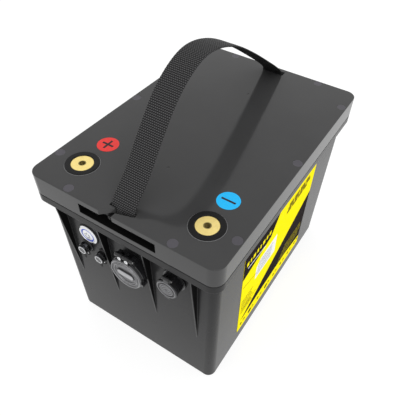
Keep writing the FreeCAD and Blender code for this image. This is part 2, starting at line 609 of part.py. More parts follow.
def make_button():
    at = on_panel("button_offset", "button_drop")
    seal, gap = "button_seal_thickness", "fit_gap"
    bore = f"button_radius + moving_gap"
    node("button_seal", turned([(f"button_barrel + {gap}", "0"), ("button_seal_radius", "0"),
                                ("button_seal_radius", f"{seal} - 0.3"), ("button_seal_radius - 0.4", seal),
                                (f"button_barrel + {gap}", seal)], at, OUTWARD))
    node("button_housing", turned([
        (bore, "-button_length"), ("button_barrel", "-button_length"), ("button_barrel", seal),
        ("bezel_radius", seal), ("bezel_radius", "bezel_front - 0.8"), ("bezel_radius - 1.2", "bezel_front"),
        (f"light_radius + {gap}", "bezel_front"), (f"light_radius + {gap}", "-3"), (bore, "-3")], at, OUTWARD))
    node("button_light_ring", turned([(bore, "-3"), ("light_radius", "-3"), ("light_radius", "bezel_front"),
                                      (bore, "bezel_front")], at, OUTWARD))
    node("power_button_cap", turned([
        ("0", "-9"), ("3", "-9"), ("3", "-1.5"), ("button_radius", "-1.5"),
        ("button_radius", "button_front - 0.9"), ("button_radius - 1", "button_front - 0.35"),
        ("0", "button_front")], at, OUTWARD))
    node("button_switch", turned([("0", "-button_length - 2"), ("7", "-button_length - 2"),
                                  ("7", "-button_length"), (f"{bore} - {gap}", "-button_length"),
                                  (f"{bore} - {gap}", "-12"), ("0", "-12")], at, OUTWARD))
    node("button_nut", cut(
        prism("27", "5", (at[0], f"{at[1]} + wall + 1 + 5", at[2]), OUTWARD),
        cylinder(f"button_barrel + {gap}", "7", (at[0], f"{at[1]} + wall + 7", at[2]), OUTWARD)))
    # The return spring is a short rubber bellows between the switch and the cap.
    folds, step = 6, "bellows_length / 6"
    outer = [(f"bellows_radius - {(fold + 1) % 2} * bellows_fold", f"-bellows_back + {fold} * {step}")
             for fold in range(folds + 1)]
    inner = [(f"{radius} - bellows_wall", height) for radius, height in reversed(outer)]
    spring = turned(outer + inner, at, OUTWARD)
    node("button_spring", spring)


def make_socket(side):
    """A round socket with a screw cap, the loop in the cap's groove and the tether round the flange."""
    at = on_panel(f"{side}_socket_offset", "socket_drop")
    flange, front = "socket_flange_front", "socket_front"
    groove_top = "cap_front - 2"
    groove_bottom = f"{groove_top} - cap_groove"
    skirt_bottom = f"{flange} + tether_thickness + 0.6"
    node(f"signal_socket_{side}", turned([
        ("socket_bore", "-socket_length"), ("socket_barrel", "-socket_length"), ("socket_barrel", "0"),
        ("socket_flange", "0"), ("socket_flange", f"{flange} - 0.5"), ("socket_flange - 0.5", flange),
        ("socket_barrel", flange), ("socket_barrel", front), ("socket_bore", front)], at, OUTWARD))
    bore = "socket_barrel + cap_thread_gap"
    node(f"signal_cap_{side}", turned([
        ("0", f"{front} + 0.2"), (bore, f"{front} + 0.2"), (bore, skirt_bottom), ("cap_skirt", skirt_bottom),
        ("cap_skirt", groove_bottom), ("cap_neck", groove_bottom), ("cap_neck", groove_top),
        ("cap_face", groove_top), ("cap_face", "cap_front - 0.5"), ("cap_face - 0.6", "cap_front"),
        ("0", "cap_front")], at, OUTWARD))
    insert = turned([("0", "-socket_length + 1"), ("socket_bore - 0.02", "-socket_length + 1"),
                     ("socket_bore - 0.02", "3"), ("0", "3")], at, OUTWARD)
    nut = cut(prism("16", "3", (at[0], f"{at[1]} + wall + 1 + 3", at[2]), OUTWARD),
              cylinder("socket_barrel + fit_gap", "5", (at[0], f"{at[1]} + wall + 5", at[2]), OUTWARD))

    # The tether: a collar round the barrel and a strip that hangs from it.
    collar = cut(cylinder("socket_barrel + 1.3", "tether_thickness", (at[0], f"{at[1]} - {flange}", at[2]),
                          OUTWARD),
                 cylinder("socket_barrel + fit_gap", "tether_thickness + 2",
                          (at[0], f"{at[1]} - {flange} + 1", at[2]), OUTWARD))
    strip = box((f"{at[0]} - tether_width / 2", f"{at[1]} - {flange} - tether_thickness",
                 f"{at[2]} - tether_drop"),
                ("tether_width", "tether_thickness", "tether_drop - socket_barrel - 0.3"))
    node(f"cap_tether_{side}", fuse(collar, strip))
    loop = cut(cylinder("cap_face + 0.5", "cap_groove - 0.5",
                        (at[0], f"{at[1]} - ({groove_bottom}) - 0.25", at[2]), OUTWARD),
               cylinder("cap_neck + moving_gap", "cap_groove + 2",
                        (at[0], f"{at[1]} - ({groove_bottom}) + 1", at[2]), OUTWARD))
    tail = box((f"{at[0]} - tether_width / 2", f"{at[1]} - ({groove_bottom}) - 0.25 - (cap_groove - 0.5)",
                f"{at[2]} - tether_drop"),
               ("tether_width", "cap_groove - 0.5", "tether_drop - cap_neck - 0.6"))
    node(f"cap_loop_{side}", fuse(loop, tail))
    return insert, nut


def hinge_knuckles(at, rise, out, reach, places, width, name):
    """Barrels round a hinge axis with arms towards the port, one at each place across the port."""
    parts = []
    for middle in places:
        left = f"{at[0]} + ({middle}) - ({width}) / 2"
        parts.append(cylinder("knuckle_radius", width, (left, f"{at[1]} - {out}", f"{at[2]} + {rise}"),
                              ALONG_X, name))
        parts.append(box((left, f"{at[1]} - ({out}) - knuckle_radius", f"{at[2]} + ({reach})"),
                         (width, "2 * knuckle_radius", f"{rise} - ({reach})"), name))
    return parts


def make_charge_port():
    at = on_panel("charge_offset", "charge_drop")
    rise, out = "charge_hinge_rise", "charge_hinge_out"
    pin_hole = cylinder("hinge_pin + fit_gap", "60", (f"{at[0]} - 30", f"{at[1]} - {out}", f"{at[2]} + {rise}"),
                        ALONG_X)
    node("charge_port_gasket", turned([("charge_barrel + 0.1", "0"), ("charge_body", "0"),
                                       ("charge_body", "charge_gasket"),
                                       ("charge_barrel + 0.1", "charge_gasket")], at, OUTWARD))
    shell = turned([
        ("charge_bore", "-charge_length"), ("charge_barrel", "-charge_length"),
        ("charge_barrel", "charge_gasket"), ("charge_body", "charge_gasket"),
        ("charge_body", "charge_body_front - 0.8"), ("charge_body - 0.8", "charge_body_front"),
        ("charge_bore", "charge_body_front")], at, OUTWARD)
    lug_places = ["0", "2 * knuckle_place", "-2 * knuckle_place"]
    lug_width = "2 * knuckle_place - knuckle_width - 2 * moving_gap"
    lugs = []
    for middle in lug_places:
        left = f"{at[0]} + ({middle}) - ({lug_width}) / 2"
        lugs.append(cylinder("knuckle_radius - 0.3", lug_width,
                             (left, f"{at[1]} - {out}", f"{at[2]} + {rise}"), ALONG_X))
        lugs.append(box((left, f"{at[1]} - charge_body_front + 0.1", f"{at[2]} + charge_body - 5"),
                        (lug_width, "6", f"{rise} - charge_body + 5")))
    catch = box((f"{at[0]} + charge_body - 2", f"{at[1]} - charge_cap_front - 0.6", f"{at[2]} - 5"),
                ("5", "8", "4"))
    notch = box((f"{at[0]} + charge_body - 2.1", f"{at[1]} - charge_cap_front - 1", f"{at[2]} - 6"),
                ("1.9", "charge_cap_front - charge_body_front + 1", "6"))
    clear = cylinder("charge_bore", "charge_body_front - charge_gasket + 1",
                     (at[0], f"{at[1]} - charge_gasket", at[2]), OUTWARD)
    node("charge_port_housing", cut(fuse(shell, *lugs, cut(catch, notch)), pin_hole, clear))

    face, rim = "charge_body_front + 0.2", "charge_cap_radius"
    disc = turned([("0", face), (f"{rim}", face), (rim, "charge_cap_front - 0.9"),
                   (f"{rim} - 0.9", "charge_cap_front"), (f"{rim} - 3.2", "charge_cap_front"),
                   (f"{rim} - 3.8", "charge_cap_front - 0.7"), ("0", "charge_cap_front - 0.7")], at, OUTWARD)
    pad_half = 7.5
    pads = [box((f"{at[0]} - {pad_half}", f"{at[1]} - charge_cap_front - 0.7", f"{at[2]} - 4.5"),
                (f"{2 * pad_half}", "1.5", "9"))]
    for sign in (-1, 1):
        pads.append(cylinder("4.5", "1.5", (f"{at[0]} + {sign * pad_half}",
                                            f"{at[1]} - charge_cap_front + 0.8", at[2]), OUTWARD))
    arms = hinge_knuckles(at, rise, out, "charge_cap_radius - 1.5", ("knuckle_place", "-knuckle_place"),
                          "knuckle_width", "CapArm")
    trim = box((f"{at[0]} - 20", f"{at[1]} - ({face})", f"{at[2]} + charge_cap_radius - 4"),
               ("40", "6", f"{rise} - charge_cap_radius + 4 - knuckle_radius - 0.2"))
    node("charge_port_cap", cut(fuse(disc, *pads, *arms), pin_hole, trim))
    pin_length = "6 * knuckle_place - knuckle_width + 1"
    node("charge_port_pin", cylinder("hinge_pin", pin_length,
                                     (f"{at[0]} - ({pin_length}) / 2", f"{at[1]} - {out}", f"{at[2]} + {rise}"),
                                     ALONG_X))
    block = turned([("0", "-charge_length + 1"), ("charge_bore - 0.02", "-charge_length + 1"),
                    ("charge_bore - 0.02", "2"), ("0", "2")], at, OUTWARD)
    pins = [cylinder("1.5", "6", (f"{at[0]} + {dx}", at[1], f"{at[2]} + {dz}"), OUTWARD)
            for dx, dz in ((-7, 5), (7, 5), (-7, -5), (7, -5))]
    node("charge_port_contacts", fuse(block, *pins))
    node("charge_port_nut", cut(prism("46", "5", (at[0], f"{at[1]} + wall + 1 + 5", at[2]), OUTWARD),
                                cylinder("charge_barrel + 0.1", "8", (at[0], f"{at[1]} + wall + 8", at[2]),
                                         OUTWARD)))


def make_aux_port():
    at = on_panel("aux_offset", "aux_drop")
    rise, out = "aux_hinge_rise", "aux_hinge_out"
    pin_hole = cylinder("hinge_pin / 2 + 0.35 + fit_gap", "30",
                        (f"{at[0]} - 15", f"{at[1]} - {out}", f"{at[2]} + {rise}"), ALONG_X)
    node("aux_port_gasket", turned([("aux_rear + 0.1", "0"), ("aux_flange", "0"),
                                    ("aux_flange", "aux_gasket"), ("aux_rear + 0.1", "aux_gasket")],
                                   at, OUTWARD))
    shell = turned([
        ("aux_bore", "-aux_length"), ("aux_rear", "-aux_length"), ("aux_rear", "aux_gasket"),
        ("aux_flange", "aux_gasket"), ("aux_flange", "aux_flange_front"),
        ("aux_barrel_radius", "aux_flange_front"), ("aux_barrel_radius", "aux_front"),
        ("aux_bore", "aux_front")], at, OUTWARD)
    lugs = []
    for sign in (-1, 1):
        left = f"{at[0]} + ({sign} * 4.6) - 1.3"
        lugs.append(cylinder("2.1", "2.6", (left, f"{at[1]} - {out}", f"{at[2]} + {rise}"), ALONG_X))
        lugs.append(box((left, f"{at[1]} - aux_front + 0.1", f"{at[2]} + aux_barrel_radius - 2.6"),
                        ("2.6", "5", f"{rise} - aux_barrel_radius + 2.6")))
    clear = cylinder("aux_bore", "aux_front - aux_gasket + 1", (at[0], f"{at[1]} - aux_gasket", at[2]), OUTWARD)
    node("aux_port_housing", cut(fuse(shell, *lugs), pin_hole, clear))
    face = "aux_front + 0.2"
    disc = turned([("0", face), ("aux_cap_radius", face), ("aux_cap_radius", "aux_cap_front - 0.8"),
                   ("aux_cap_radius - 0.8", "aux_cap_front"), ("0", "aux_cap_front")], at, OUTWARD)
    relief = turned([("aux_cap_radius - 4.4", "aux_cap_front - 0.5"),
                     ("aux_cap_radius - 3", "aux_cap_front - 0.5"), ("aux_cap_radius - 3", "aux_cap_front + 1"),
                     ("aux_cap_radius - 4.4", "aux_cap_front + 1")], at, OUTWARD)
    knuckle = cylinder("2.3", "6", (f"{at[0]} - 3", f"{at[1]} - {out}", f"{at[2]} + {rise}"), ALONG_X)
    arm = box((f"{at[0]} - 3", f"{at[1]} - {out} - 2.3", f"{at[2]} + aux_cap_radius - 1.5"),
              ("6", "3", f"{rise} - aux_cap_radius + 1.5"))
    tab = box((f"{at[0]} - 3.5", f"{at[1]} - aux_cap_front + 0.6", f"{at[2]} - aux_cap_radius - 3.2"),
              ("7", "1.6", "4.6"))
    node("aux_port_cap", cut(fuse(disc, knuckle, arm, tab), pin_hole, relief))
    node("aux_port_pin", cylinder("hinge_pin / 2 + 0.35", "12.4",
                                  (f"{at[0]} - 6.2", f"{at[1]} - {out}", f"{at[2]} + {rise}"), ALONG_X))
    block = turned([("0", "-aux_length + 1"), ("aux_bore - 0.02", "-aux_length + 1"),
                    ("aux_bore - 0.02", "5"), ("0", "5")], at, OUTWARD)
    tongue = box((f"{at[0]} - 4", f"{at[1]} - 11", f"{at[2]} - 1"), ("8", "7", "2"))
    node("aux_port_contacts", fuse(block, tongue))
    node("aux_port_nut", cut(prism("27", "4.5", (at[0], f"{at[1]} + wall + 1 + 4.5", at[2]), OUTWARD),
                             cylinder("aux_rear + 0.1", "7", (at[0], f"{at[1]} + wall + 7", at[2]), OUTWARD)))


def make_cells():
    cell = doc.addObject("PartDesign::Body", "Cell")
    can = cell.newObject("PartDesign::Pad", "Can")
    can.Profile = outline(cell, "XY_Plane", rectangle("cell_width", "cell_thickness"))
    bind(can, Length="cell_height")
    doc.recompute()
    rounded(cell, can, upright_edges(can.Shape, 0, size("cell_height")), "cell_edge")
    poles = []
    for sign in (-1, 1):
        poles.append(box((f"{sign} * pole_spread / 2 - 11", "-9", "cell_height"), ("22", "18", "pole_height")))
        poles.append(cylinder("stud_radius", "stud_length + pole_height",
                              (f"{sign} * pole_spread / 2", "0", "cell_height")))
    whole = fuse(cell, *poles)
    cells = []
    for index in range(4):
        middle = f"block_front + end_plate + {index + 0.5} * cell_pitch"
        cells.append(copy_at(whole, ("cell_middle", middle, "cell_bottom")))
    node("cells", group(*cells))
    spacers = [box(("cell_left", f"block_front + end_plate + {index} * cell_pitch - cell_gap / 2 + 0.05",
                    "cell_bottom"), ("cell_width", "cell_gap - 0.1", "cell_height")) for index in (1, 2, 3)]
    node("cell_spacers", group(*spacers))
    plates = [box(("cell_left", start, "cell_bottom"), ("cell_width", "end_plate", "cell_height"))
              for start in ("block_front", "block_back - end_plate")]
    node("end_plates", group(*plates))
    node("base_pad", box(("cell_left", "block_front", "base_thickness"),
                         ("cell_width", "block_back - block_front", "base_pad")))

    # Two steel bands go round the block, front to back.
    bands = []
    for share in (0.25, 0.75):
        outer = box(("cell_left - band_thickness", "block_front - band_thickness",
                     f"cell_bottom + {share} * cell_height - band_width / 2"),
                    ("cell_width + 2 * band_thickness", "block_back - block_front + 2 * band_thickness",
                     "band_width"))
        hole = box(("cell_left", "block_front", f"cell_bottom + {share} * cell_height - band_width"),
                   ("cell_width", "block_back - block_front", "2 * band_width"))
        bands.append(cut(outer, hole))
    node("compression_bands", group(*bands))

    # Bars join the poles of neighbouring cells, on alternate sides.
    bars, nuts = [], []
    for index, sign in ((0, 1), (1, -1), (2, 1)):
        first = f"block_front + end_plate + {index + 0.5} * cell_pitch"
        across = f"cell_middle + {sign} * pole_spread / 2"
        bar = box((f"{across} - bar_width / 2", f"{first} - 9", "bar_bottom"),
                  ("bar_width", "cell_pitch + 18", "bar_height"))
        holes = [cylinder("stud_radius + 0.1", "3 * bar_height", (across, along, "bar_bottom - bar_height"))
                 for along in (first, f"{first} + cell_pitch")]
        bars.append(cut(bar, *holes))
        for along in (first, f"{first} + cell_pitch"):
            nuts.append((across, along, "bar_top"))
    node("bus_bars", group(*bars))
    for index in (0, 3):
        along = f"block_front + end_plate + {index + 0.5} * cell_pitch"
        nuts.append(("cell_middle - pole_spread / 2", along, "bar_bottom + lug_thickness"))
    nut = cut(prism("10", "5", ("0", "0", "0")), cylinder("stud_radius + 0.02", "7", ("0", "0", "-1")))
    node("cell_nuts", group(*[copy_at(nut, where) for where in nuts]))


def lug(at, hole, ahead):
    """A cable lug lying flat: a ring round a stud and a barrel that points to +Y or -Y."""
    ring = cylinder(f"{hole} + 4", "lug_thickness", at)
    neck = box((f"{at[0]} - lead_radius", f"{at[1]} + {0 if ahead > 0 else -1} * ({hole} + 7.5)", at[2]),
               ("2 * lead_radius", f"{hole} + 7.5", "lug_thickness"))
    mouth = f"{at[1]} + {ahead} * ({hole} + 6.2)"
    barrel = cylinder("lead_radius", "7.8", (at[0], mouth, f"{at[2]} + lead_radius - lug_drop"),
                      ALONG_Y if ahead > 0 else OUTWARD)
    return cut(fuse(ring, neck, barrel), cylinder(f"{hole} + 0.1", "3 * lug_thickness",
                                                  (at[0], at[1], f"{at[2]} - lug_thickness")))


def make_electronics():
    first_pole = "block_front + end_plate + 0.5 * cell_pitch"
    last_pole = "block_front + end_plate + 3.5 * cell_pitch"
    left_pole = "cell_middle - pole_spread / 2"
    stem, stud = "terminal_stem_radius", "stud_radius"
    lugs = [
        lug(("-terminal_offset", "-terminal_y", "lug_bottom"), stem, 1),
        lug(("terminal_offset", "-terminal_y", "lug_bottom"), stem, 1),
        lug((left_pole, first_pole, "bar_bottom"), stud, 1),
        lug((left_pole, last_pole, "bar_bottom"), stud, -1),
    ]
    node("lead_lugs", group(*lugs))
    high, low = "lug_bottom + lead_radius - lug_drop", "bar_bottom + lead_radius - lug_drop"
    start = "-terminal_y + terminal_stem_radius + 14"
    pole_start = f"{first_pole} + stud_radius + 14"
    node("positive_lead", cable("positive_lead", "lead_radius - 0.5", [
        ("-terminal_offset", start, high), ("-terminal_offset", f"{start} + 19", high),
        ("-terminal_offset - 20", f"{start} + 42", f"{high} - 6"),
        ("-terminal_offset - 20", f"{start} + 64", f"{low} + 12"),
        ("-terminal_offset - 9", f"{pole_start} + 40.5", f"{low} + 5"),
        (f"{left_pole} - 9.5", f"{pole_start} + 40.5", f"{low} + 1"),
        (left_pole, f"{pole_start} + 23", low), (left_pole, pole_start, low)]))

    # The protection board stands beside the cells on its heat sink.
    board_x, board_y, board_z = "cell_right + 6", "-board_length / 2", "cell_bottom + 60"
    board = box((board_x, board_y, board_z), ("board_thickness", "board_length", "board_height"))
    chips = [box((f"{board_x} - 3", f"{board_y} + 14 + {step} * 24", f"{board_z} + 12"), ("3", "12", "16"))
             for step in range(6)]
    node("protection_board", fuse(board, *chips))
    sink_x = f"{board_x} + board_thickness + 0.2"
    sink = box((sink_x, board_y, board_z), ("sink_thickness", "board_length", "board_height"))
    channels = [box((f"{sink_x} + 4", f"{board_y} + 6 + {step} * 12", f"{board_z} - 1"),
                    ("sink_thickness", "6", "board_height + 2")) for step in range(12)]
    node("heat_sink", cut(sink, *channels))
    middle = f"{board_x} + board_thickness / 2"
    over = f"{board_z} + board_height"
    node("negative_lead", cable("negative_lead", "lead_radius - 0.5", [
        ("terminal_offset", start, high), ("terminal_offset", f"{start} + 24", high),
        (f"(terminal_offset + {middle}) / 2", f"{start} + 46", f"{high} - 6"),
        (middle, f"{start} + 62", f"({high} + {over}) / 2"), (middle, f"{start} + 62", over)]))
    back = f"{last_pole} - stud_radius - 14"
    node("cell_return_lead", cable("cell_return_lead", "lead_radius - 0.5", [
        (left_pole, back, low), (left_pole, f"{back} - 22", low),
        (f"{left_pole} + 22", f"{back} - 42", f"{low} + 10.5"),
        ("cell_middle + 10", f"{back} - 48", f"{low} + 13.5"),
        ("cell_right - 20", f"{back} - 54", f"{low} + 13.5"), (middle, f"{back} - 62", f"{low} + 9.5"),
        (middle, f"{back} - 66", f"{low} - 25.5"), (middle, f"{back} - 66", over)]))


def finish():
    """Check every object and write each piece."""
    doc.recompute()
    for item in doc.Objects:
        if "Invalid" in item.State or "Error" in item.State:
            raise RuntimeError(f"{item.Name} failed: {item.State}")
    os.makedirs("parts", exist_ok=True)
    for name, item in nodes.items():
        shape = Part.getShape(item)
        if shape.isNull() or not shape.isValid() or not shape.Solids:
            raise RuntimeError(f"{name} has no valid solid")
    for name, item in nodes.items():
        shape = Part.getShape(item)
        shape.exportStep(f"parts/{name}.step")
        print(f"{name}: {len(shape.Solids)} solids, {sum(s.Volume for s in shape.Solids) / 1000:.2f} cm3")


make_case()
make_lid()
make_lid_fasteners()
make_strap()
make_terminals()
make_label()
make_button()
socket_parts = [make_socket(side) for side in ("left", "right")]
node("socket_inserts", group(*[insert for insert, nut in socket_parts]))
node("socket_nuts", group(*[nut for insert, nut in socket_parts]))
make_charge_port()
make_aux_port()
make_cells()
make_electronics()
finish()
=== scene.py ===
"""The battery pack's looks: finishes for every piece, the woven strap, the printed label and small raised details."""

import math

import bmesh
import bpy
from mathutils import Matrix, Vector


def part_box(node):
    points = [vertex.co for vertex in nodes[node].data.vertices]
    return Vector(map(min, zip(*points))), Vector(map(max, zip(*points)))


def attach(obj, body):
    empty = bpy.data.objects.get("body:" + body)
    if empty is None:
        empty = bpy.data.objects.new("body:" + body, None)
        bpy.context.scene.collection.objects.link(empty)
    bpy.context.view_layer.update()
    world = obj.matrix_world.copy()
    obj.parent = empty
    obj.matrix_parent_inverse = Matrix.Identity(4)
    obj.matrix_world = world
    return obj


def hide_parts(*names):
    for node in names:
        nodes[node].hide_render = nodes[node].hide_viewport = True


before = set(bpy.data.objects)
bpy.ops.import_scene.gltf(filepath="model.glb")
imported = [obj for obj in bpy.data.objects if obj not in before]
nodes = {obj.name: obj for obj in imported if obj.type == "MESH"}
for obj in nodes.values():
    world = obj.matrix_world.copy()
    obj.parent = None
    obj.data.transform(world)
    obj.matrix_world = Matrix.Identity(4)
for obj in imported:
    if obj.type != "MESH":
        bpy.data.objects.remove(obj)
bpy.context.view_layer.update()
MM = 0.001
LID_TOP = 268.0
STRAP_RISE = 118.0
WALL_AT_LIP, LIP_UNDERSIDE = 0.1717, 0.2286
RECESS_HALF_LENGTH, RECESS_DEEP, RECESS_MOUTH, RECESS_FLOOR, RECESS_ROOF = 0.0507, 0.161, 0.1822, 0.2466, 0.2606
# Near-black colours for painted shade where deep shade falls, with a faint speckle.
PAINTED_SHADE_BLACK, PAINTED_SHADE_SPECKLE = (0.003, 0.003, 0.003), (0.007, 0.007, 0.007)
PLASTIC_BLACK = (0.012, 0.012, 0.013)


# ---------------------------------------------------------------- shader maths

class Value:
    """A shader output that can be written into sums."""

    def __init__(self, finish, socket):
        self.finish = finish
        self.socket = socket

    def maths(self, operation, *values):
        return self.finish.node("ShaderNodeMath", {"operation": operation}, dict(enumerate(values)))

    def __add__(self, other):
        return self.maths("ADD", self, other)

    def __radd__(self, other):
        return self.maths("ADD", other, self)

    def __sub__(self, other):
        return self.maths("SUBTRACT", self, other)

    def __rsub__(self, other):
        return self.maths("SUBTRACT", other, self)

    def __mul__(self, other):
        return self.maths("MULTIPLY", self, other)

    def __rmul__(self, other):
        return self.maths("MULTIPLY", other, self)

    def over(self, limit):
        return self.maths("GREATER_THAN", self, limit)

    def wave(self):
        return self.maths("SINE", self)

    def root(self):
        return self.maths("SQRT", self)

    def size(self):
        return self.maths("ABSOLUTE", self)


class Finish:
    """One material, built from expressions and finished with a Principled surface."""

    def __init__(self, name):
        self.material = bpy.data.materials.new(name)
        self.material.use_nodes = True
        self.tree = self.material.node_tree
        self.tree.nodes.clear()
        self.output = self.tree.nodes.new("ShaderNodeOutputMaterial")
        self.place = self.node("ShaderNodeTexCoord", {}, {}, "Object")

    def node(self, kind, settings, inputs, output=0):
        """Add a node; its settings go first, then its inputs as numbers, colours or links."""
        made = self.tree.nodes.new(kind)
        for key, setting in settings.items():
            setattr(made, key, setting)
        for key, given in inputs.items():
            if isinstance(given, Value):
                self.tree.links.new(given.socket, made.inputs[key])
            else:
                made.inputs[key].default_value = given
        return Value(self, made.outputs[output])

    def noise(self, scale, detail=3.0, roughness=0.55, stretch=None):
        place = self.place
        if stretch:
            place = self.node("ShaderNodeMapping", {}, {"Vector": place, "Scale": stretch})
        return self.node("ShaderNodeTexNoise", {}, {"Vector": place, "Scale": scale, "Detail": detail,
                                                   "Roughness": roughness})

    def band(self, value, low, high):
        """A smooth step from 0 at low to 1 at high."""
        return self.node("ShaderNodeMapRange", {"interpolation_type": "SMOOTHSTEP"},
                         {0: value, 1: low, 2: high})

    def colour(self, factor, first, second):
        return self.node("ShaderNodeMix", {"data_type": "RGBA"}, {0: factor, 6: paint(first), 7: paint(second)}, 2)

    def axes(self, place=None):
        return [self.node("ShaderNodeSeparateXYZ", {}, {0: place or self.place}, index) for index in range(3)]

    def distance_from(self, centre, across):
        """Distance from an axis through centre; across holds the two axes that count."""
        parts = self.axes()
        first, second = [parts[index] - centre[index] for index in across]
        return (first * first + second * second).root()

    def edge(self, radius, samples=6):
        """How much the surface turns within radius: 0 on a flat, up to 1 on a sharp edge."""
        soft = self.node("ShaderNodeBevel", {"samples": samples}, {"Radius": radius})
        true = self.node("ShaderNodeNewGeometry", {}, {}, "True Normal")
        alike = self.node("ShaderNodeVectorMath", {"operation": "DOT_PRODUCT"}, {0: soft, 1: true}, "Value")
        return soft, self.band(1.0 - alike, 0.01, 0.2)

    def bump(self, height, strength, distance, normal=None):
        inputs = {"Height": height, "Strength": strength, "Distance": distance}
        if normal:
            inputs["Normal"] = normal
        return self.node("ShaderNodeBump", {}, inputs)

    def surface(self, dark=None, **inputs):
        """Finish the material; dark is a mask of places painted near-black as painted shade, standing in for deep
        shade.
        """
        names = {name.replace("_", " "): given for name, given in inputs.items()}
        shader = self.node("ShaderNodeBsdfPrincipled", {}, names)
        if dark:
            # Painted shade: where the mask is set, a near-black matt surface with a faint speckle replaces the
            # finish.
            painted_shade_colour = self.colour(self.noise(300.0), PAINTED_SHADE_BLACK, PAINTED_SHADE_SPECKLE)
            depth = self.node("ShaderNodeBsdfPrincipled", {}, {"Base Color": painted_shade_colour, "Roughness": 0.95,
                                                               "Specular IOR Level": 0.03})
            shader = self.node("ShaderNodeMixShader", {}, {0: dark, 1: shader, 2: depth})
        self.tree.links.new(shader.socket, self.output.inputs["Surface"])
        return self.material


def paint(colour):
    return colour if isinstance(colour, Value) or len(colour) == 4 else (*colour, 1.0)


def lighter(colour, share):
    """The colour multiplied by a share, so darker when the share is below 1."""
    return tuple(min(1.0, part * share) for part in colour)


# ------------------------------------------------------------------- finishes

def moulded(name, colour, roughness, grain=900.0, depth=0.00003, edge_wear_and_highlight=0.5, round_edge=0.0007, shine=0.5,
            painted_shade_places=None):
    """Moulded plastic: fine grain, slow mottling, and edges painted paler, partly as rubbed wear and partly as a
    painted highlight; an optional mask paints places black as painted shade.
    """
    f = Finish(name)
    soft, edge = f.edge(round_edge)
    mottle = f.noise(14.0, 4.0)
    fine = f.noise(grain, 2.0, 0.6)
    scuff = f.band(f.noise(60.0, 6.0, 0.7, (1.0, 5.0, 1.0)), 0.62, 0.75)
    shade = f.colour(mottle, lighter(colour, 0.86), lighter(colour, 1.16))
    # Edges painted paler: partly rubbed wear, partly a painted highlight where rounded edges catch the light.
    shade = f.colour(edge * f.band(f.noise(180.0), 0.3, 0.7) * edge_wear_and_highlight, shade, lighter(colour, 3.2))
    rough = roughness + (mottle - 0.5) * 0.06 + fine * 0.03 + scuff * 0.05 + edge * 0.08
    # The optional mask marks places painted black as painted shade.
    return f.surface(painted_shade_places(f) if painted_shade_places else None, Base_Color=shade, Roughness=rough,
                     Specular_IOR_Level=shine, Normal=f.bump(fine, 0.25, depth, soft))


def fin_flanks_painted_shade(f):
    """The flanks of the fins, between the end walls and the lip, which are painted black as painted shade."""
    _, along, up = f.axes()
    facing_side = f.axes(f.node("ShaderNodeNewGeometry", {}, {}, "True Normal"))[0].size().over(0.5)
    return facing_side * along.size().over(WALL_AT_LIP) * (1.0 - up.over(LIP_UNDERSIDE))


def recess_walls_painted_shade(f):
    """The walls of the two finger recesses, behind the lid's skirt, which are painted black as painted shade."""
    across, along, up = f.axes()
    reach = along.size()
    inside = (1.0 - across.size().over(RECESS_HALF_LENGTH)) * reach.over(RECESS_DEEP)
    inside = inside * (1.0 - reach.over(RECESS_MOUTH))
    return inside * up.over(RECESS_FLOOR) * (1.0 - up.over(RECESS_ROOF))


def rubbery(name, colour, roughness=0.75):
    """Matt rubber with a dusty bloom."""
    f = Finish(name)
    bloom = f.noise(90.0, 5.0, 0.65)
    fine = f.noise(1600.0, 2.0)
    shade = f.colour(f.band(bloom, 0.35, 0.8) * 0.6, colour, lighter(colour, 2.1))
    return f.surface(Base_Color=shade, Roughness=roughness + bloom * 0.12, Normal=f.bump(fine, 0.3, 0.00004))


def turned_metal(name, colour, centre, across, roughness=0.28, pitch=0.00032, tarnish=0.25, hole_shade_radius=0.0, collar=1.0):
    """Metal faced on a lathe: fine rings round an axis, broken up by slight stains.

    Within the hole's radius it is painted darker as painted shade in the threaded hole, and beyond the collar's
    radius it is black plastic.
    """
    f = Finish(name)
    blend = 0.0003
    soft, edge = f.edge(0.0003)
    radius = f.distance_from(centre, across)
    rings = (radius * (2 * math.pi / pitch) + f.noise(260.0) * 3.0).wave() * 0.5 + 0.5
    stain = f.band(f.noise(120.0, 5.0, 0.7), 0.42, 0.75)
    shade = f.colour(stain * tarnish, colour, lighter(colour, 0.55))
    shade = f.colour(rings * 0.16, shade, lighter(colour, 0.6))
    rough = roughness + rings * 0.08 + stain * 0.14 - edge * 0.05
    # Painted shade: the area in and round the threaded hole is painted darker.
    if hole_shade_radius:
        shade = f.colour(f.band(radius, hole_shade_radius, hole_shade_radius + blend), lighter(colour, 0.3), shade)
    plastic = f.band(radius, collar, collar + blend)
    shade = f.colour(plastic, shade, PLASTIC_BLACK)
    return f.surface(Base_Color=shade, Metallic=1.0 - plastic, Roughness=rough,
                     Normal=f.bump(rings, 0.22, 0.00002, soft))


def plated(name, colour, roughness=0.16, stretch=(1.0, 1.0, 1.0)):
    """Plated or drawn metal with faint streaks and finger marks."""
    f = Finish(name)
    soft, edge = f.edge(0.0003)
    streak = f.noise(420.0, 3.0, 0.6, stretch)
    smear = f.band(f.noise(70.0, 4.0), 0.45, 0.7)
    shade = f.colour(streak * 0.3, colour, lighter(colour, 0.72))
    return f.surface(Base_Color=shade, Metallic=1.0, Roughness=roughness + smear * 0.1 + streak * 0.05,
                     Normal=f.bump(streak, 0.12, 0.00002, soft))


def film(name, colour, roughness=0.3, grain=0.1, shine=0.25, coat=0.08):
    """Printed film: ink with a faint screen grain under a thin gloss coat."""
    f = Finish(name)
    screen = f.noise(2600.0, 1.0)
    patch = f.noise(24.0, 3.0)
    shade = f.colour(screen * grain + (patch - 0.5) * 0.12, colour, lighter(colour, 0.8))
    return f.surface(Base_Color=shade, Roughness=roughness + patch * 0.08, Specular_IOR_Level=shine,
                     Coat_Weight=coat + patch * coat, Normal=f.bump(f.noise(55.0, 2.0), 0.15, 0.0002))


